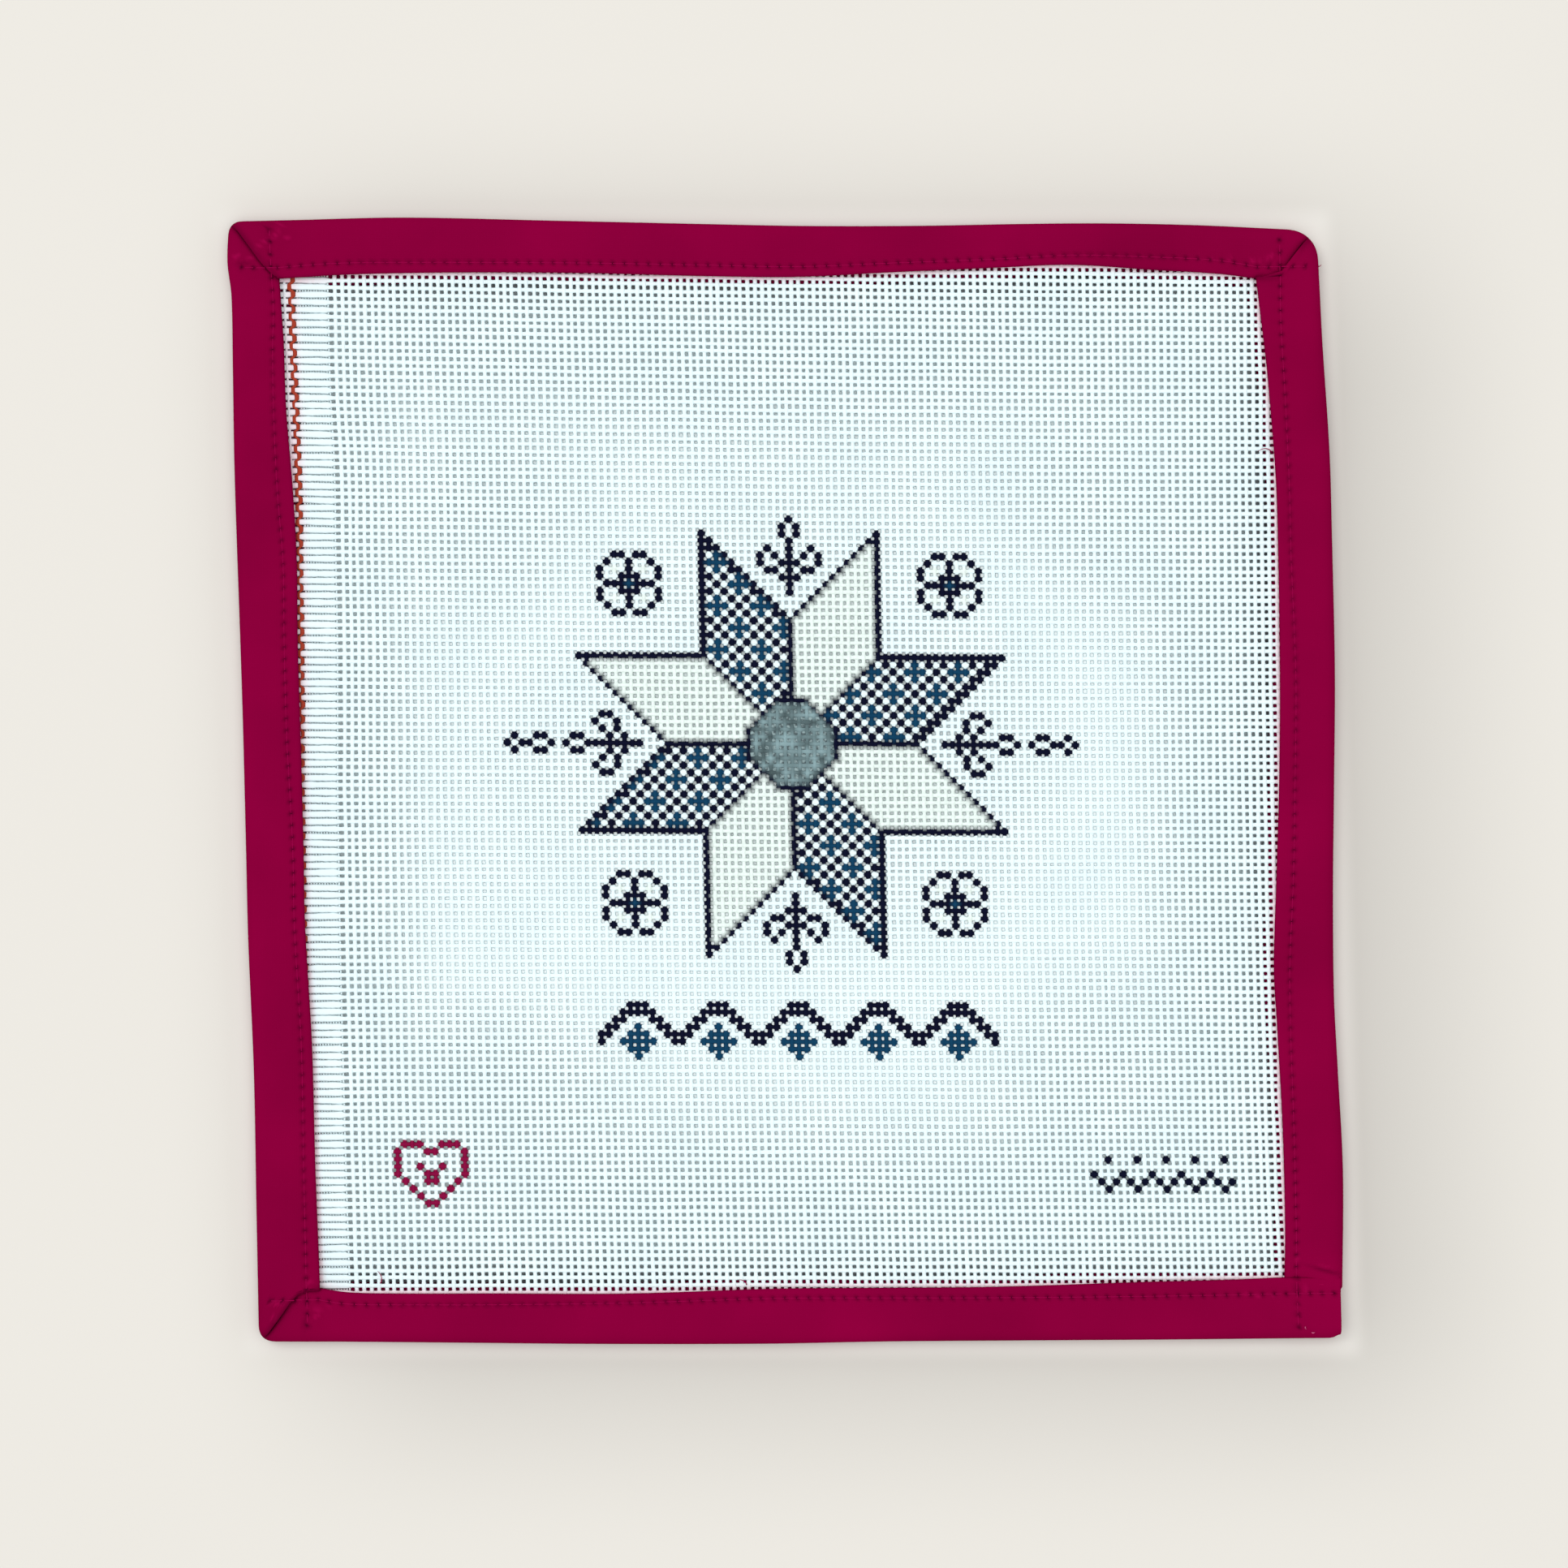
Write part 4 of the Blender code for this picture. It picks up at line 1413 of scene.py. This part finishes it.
# The stitching. A lockstitch of crimson cotton, 2.3 mm long, that goes through the
# tape and the canvas a little out from the window, once along each side.
THREAD_HALF = 0.11
THREAD_WIDER, THREAD_SINKS = 1.1, 0.5  # shares of it: pressed wide, and sunk in at the least
STITCH_POINTS = 5
STITCH_SHOWS = (0.04, 0.96)  # of the way from one needle hole to the next
STITCH_SUNK, STITCH_ARCH, BACK_LIFT = 0.15, 0.16, 0.03
tape_form = BVHTree.FromObject(binding_tape, bpy.context.evaluated_depsgraph_get())


def height_on_tape(x, y, face):
    """The height of the tape's face (1) or back (-1), in mm."""
    hit = tape_form.ray_cast(Vector((x * MM, y * MM, 0.01 * face)), Vector((0, 0, -face)))[0]
    return hit.z / MM if hit is not None else None


def make_stitches(name, face):
    """One short arched thread from each needle hole to the next."""
    lines, ways = [], []
    bend = np.sin(np.linspace(0, math.pi, STITCH_POINTS))
    for row in needle_rows:
        for start, end in zip(row[:-1], row[1:]):
            share = np.linspace(*STITCH_SHOWS, STITCH_POINTS)[:, None]
            plan = start + (end - start) * share
            heights = [height_on_tape(x, y, face) for x, y in plan]
            if None in heights:
                continue
            middle = sorted(heights)[STITCH_POINTS // 2]
            z = middle + face * (STITCH_ARCH * bend - STITCH_SUNK)
            if face < 0:
                z = z + BACK_LIFT
            lines.append(np.column_stack((plan, np.maximum(z, THREAD_HALF * THREAD_SINKS))))
            way = (end - start) / np.linalg.norm(end - start)
            ways.append(np.tile((way[1], -way[0], 0.0), (STITCH_POINTS, 1)))
    line, way = np.array(lines), np.array(ways)
    half = np.full(line.shape[:2], THREAD_HALF)
    return spin_threads(name, line, way, half * THREAD_WIDER, half)


def new_sewing_cotton(name, grain, stops, roughness):
    """Sewing thread whose shade changes from fibre to fibre, between two colours."""
    material, tree, shader, place = new_material(name)
    shade = shade_between(tree, new_noise(tree, place, grain), stops)
    tree.links.new(shade, shader.inputs["Base Color"])
    set_gloss(shader, roughness)
    return material


THREAD_SHADES = ((0.0, (0.22, 0.0009, 0.040)), (1.0, (0.36, 0.0035, 0.074)))
crimson_thread = new_sewing_cotton("crimson_sewing_cotton", 2500.0, THREAD_SHADES, 0.8)
for name, face in (("stitches_face", 1), ("stitches_back", -1)):
    stitches = make_stitches(name, face)
    stitches.data.materials.append(crimson_thread)
    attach(stitches, "root")


# Loose thread ends. Where a row starts or ends, a few millimetres of the sewing
# thread stand out from the tape or lie on the canvas.
LooseEnd = namedtuple("LooseEnd", "x y heading length rise")
LOOSE_ENDS = (
    LooseEnd(-78.3, -97.0, 75, 2.4, 0.35),
    LooseEnd(-7.6, -97.3, 120, 1.8, 0.30),
    LooseEnd(93.7, 63.4, 150, 2.6, 0.40),
    LooseEnd(102.4, 99.3, 350, 0.9, 0.05),
    LooseEnd(106.8, -97.5, 10, 0.5, 0.05),
)
FRAYED_ENDS = (
    LooseEnd(99.9, -105.0, 260, 0.5, 0.08),
    LooseEnd(101.1, -106.1, 335, 0.6, 0.08),
)
END_POINTS = 7
END_CURL = 0.9  # radians, from one tip to the other
END_LIFT = 0.10
LOWEST_TAPE = 2.0  # mm; what lies lower there is the back of the tape, under the canvas


def make_loose_ends(name, ends, half_thick):
    """Short curled threads that lie on the tape or the canvas, or stand up from them."""
    lines, ways = [], []
    for end in ends:
        heading = math.radians(end.heading)
        points = []
        for n in range(END_POINTS):
            share = n / (END_POINTS - 1)
            turn = heading + END_CURL * (share - 0.5)
            x = end.x + math.cos(turn) * end.length * share
            y = end.y + math.sin(turn) * end.length * share
            under = height_on_tape(x, y, 1)
            if under is None:
                under = FOLD_CENTRE
            elif under < LOWEST_TAPE:
                under = float(canvas_lie(np.array(x), np.array(y))) + CRIMP + HALF_THICK
            points.append((x, y, under + END_LIFT + end.rise * math.sin(math.pi * share)))
        lines.append(points)
        ways.append([(math.sin(heading), -math.cos(heading), 0.0)] * END_POINTS)
    line, way = np.array(lines), np.array(ways)
    half = np.full(line.shape[:2], half_thick)
    return spin_threads(name, line, way, half, half)


# Where the thread is cut its fibres spread, pink and pale.
FRAYED_SHADES = ((0.35, (0.36, 0.012, 0.100)), (0.60, (0.62, 0.12, 0.27)))
END_HALF, FRAYED_HALF = 0.10, 0.12
loose_ends = make_loose_ends("loose_ends", LOOSE_ENDS, END_HALF)
loose_ends.data.materials.append(crimson_thread)
frayed_ends = make_loose_ends("frayed_ends", FRAYED_ENDS, FRAYED_HALF)
frayed_ends.data.materials.append(
    new_sewing_cotton("frayed_pink_cotton", 2200.0, FRAYED_SHADES, 0.9)
)
for ends in (loose_ends, frayed_ends):
    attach(ends, "root")


# The table. A pale paper floor that the panel lies on, for the picture only, with
# painted shadow and light round and under the panel.
FLOOR_SIDE = 6.0
PAPER = (0.745, 0.722, 0.672)
# Painted shadow: the paper's colour where the panel's soft shadow is painted round it.
PAINTED_SHADOW_PAPER = (0.550, 0.532, 0.494)
# Painted light: the paper under the open canvas, pale and cool as if lit through the threads.
PAINTED_LIGHT_UNDER_CANVAS = (0.86, 0.93, 0.935)
# Painted shade: the paper under the canvas's edge by the tape, nearly black.
PAINTED_SHADE_UNDER_TAPE = (0.12, 0.13, 0.14)

# Where shade and light are painted on the paper, in mm: a painted shadow round the
# panel, painted light under the open canvas with painted shade round its edge, and the
# whole panel. Last comes painted light on the paper that lies against the tape, which
# the panel's thickness shades too much.
FloorShade = namedtuple("FloorShade", "x y half_x half_y soft most")
PAINTED_FLOOR_SHADES = (
    FloorShade(17, -8, 109, 113, 32, 1.0),
    FloorShade(0, 0, 91, 94, 5, 1.0),
    FloorShade(0, 0, 100.5, 102, 1.5, 1.0),
    FloorShade(0.2, -0.4, 107.6, 110.4, 2.4, 0.8),
)
# Painted light: paler paper against the tape, to lessen the shade the panel casts there.
PAINTED_LIGHT_BESIDE_PANEL = (0.77, 0.75, 0.705)
PANEL_LEAN = 0.027  # how far the panel's sides lean over, for each mm up


PAPER_ROUGH = 0.9


def mix_of(tree, share, first, second):
    """Two colours mixed by the share of the second that a value gives."""
    mixed = mix_in(tree, share, None, second)
    mixed.node.inputs["A"].default_value = (*first, 1)
    return mixed


def paper_with_painted_shade():
    """Pale paper with a painted shadow round the panel, painted light and shade under it,
    and painted light against the tape.
    """
    material, tree, shader, place = new_material("paper_with_painted_shade")
    link = tree.links.new
    painted_shade_masks = []
    for shade in PAINTED_FLOOR_SHADES:
        moved = new_node(tree, "ShaderNodeVectorMath", operation="SUBTRACT")
        moved.inputs[1].default_value = (shade.x * MM, shade.y * MM, 0)
        link(place.outputs["Object"], moved.inputs[0])
        fades = []
        for way, half in (((1, PANEL_LEAN, 0), shade.half_x), ((0, 1, 0), shade.half_y)):
            along = new_node(tree, "ShaderNodeVectorMath", operation="DOT_PRODUCT")
            along.inputs[1].default_value = way
            link(moved.outputs["Vector"], along.inputs[0])
            away = new_node(tree, "ShaderNodeMath", operation="ABSOLUTE")
            link(along.outputs["Value"], away.inputs[0])
            run = ((half - shade.soft) * MM, (half + shade.soft) * MM)
            most = math.sqrt(shade.most)
            fades.append(new_range(tree, away.outputs[0], run, (most, 0.0), "SMOOTHSTEP"))
        both = new_node(tree, "ShaderNodeMath", operation="MULTIPLY")
        link(fades[0], both.inputs[0])
        link(fades[1], both.inputs[1])
        painted_shade_masks.append(both.outputs[0])
    round_panel, under_canvas, under_panel, against_tape = painted_shade_masks
    # Painted light under the open canvas, and painted shade round it by the tape.
    under = mix_of(tree, under_canvas, PAINTED_SHADE_UNDER_TAPE, PAINTED_LIGHT_UNDER_CANVAS)
    paper = mix_of(tree, round_panel, PAPER, PAINTED_SHADOW_PAPER)
    beside = mix_in(tree, against_tape, paper, PAINTED_LIGHT_BESIDE_PANEL)
    covered = new_node(tree, "ShaderNodeMix", data_type="RGBA")
    link(under_panel, covered.inputs["Factor"])
    link(beside, covered.inputs["A"])
    link(under, covered.inputs["B"])
    link(covered.outputs["Result"], shader.inputs["Base Color"])
    set_gloss(shader, PAPER_ROUGH)
    return material


bpy.ops.mesh.primitive_plane_add(size=FLOOR_SIDE, location=(0, 0, 0))
table_top = bpy.context.object
table_top.name = "table_top"
table_top.data.materials.append(paper_with_painted_shade())


# Light and camera. A wide soft light from the upper left, even light all round,
# and a camera straight above the panel.
PHOTO_WIDTH = 303.3 * MM
PHOTO_MIDDLE = (-0.39 * MM, -0.63 * MM)
LENS, SENSOR = 85.0, 36.0
SKY_WHITE, SKY_STRENGTH = (1.0, 1.0, 1.0, 1), 0.82


def soft_light(name, place, size, watts):
    lamp = bpy.data.lights.new(name, "AREA")
    lamp.shape = "DISK"
    lamp.size = size
    lamp.energy = watts
    light = bpy.data.objects.new(name, lamp)
    bpy.context.scene.collection.objects.link(light)
    light.location = place
    light.rotation_euler = (-Vector(place)).to_track_quat("-Z", "Y").to_euler()


soft_light("window_light", (-2.2, 1.8, 3.6), size=2.6, watts=54.5)
soft_light("room_light", (0.6, -0.6, 4.4), size=3.5, watts=32.0)
sky = bpy.data.worlds.new("studio")
sky.use_nodes = True
background = sky.node_tree.nodes["Background"]
background.inputs["Color"].default_value = SKY_WHITE
background.inputs["Strength"].default_value = SKY_STRENGTH
bpy.context.scene.world = sky
bpy.context.scene.view_settings.view_transform = "Standard"

camera = bpy.data.objects.new("camera", bpy.data.cameras.new("camera"))
bpy.context.scene.collection.objects.link(camera)
camera.data.lens = LENS
camera.data.sensor_width = SENSOR
camera.location = (*PHOTO_MIDDLE, PHOTO_WIDTH * LENS / SENSOR)
camera.rotation_euler = (0, 0, 0)
bpy.context.scene.camera = camera
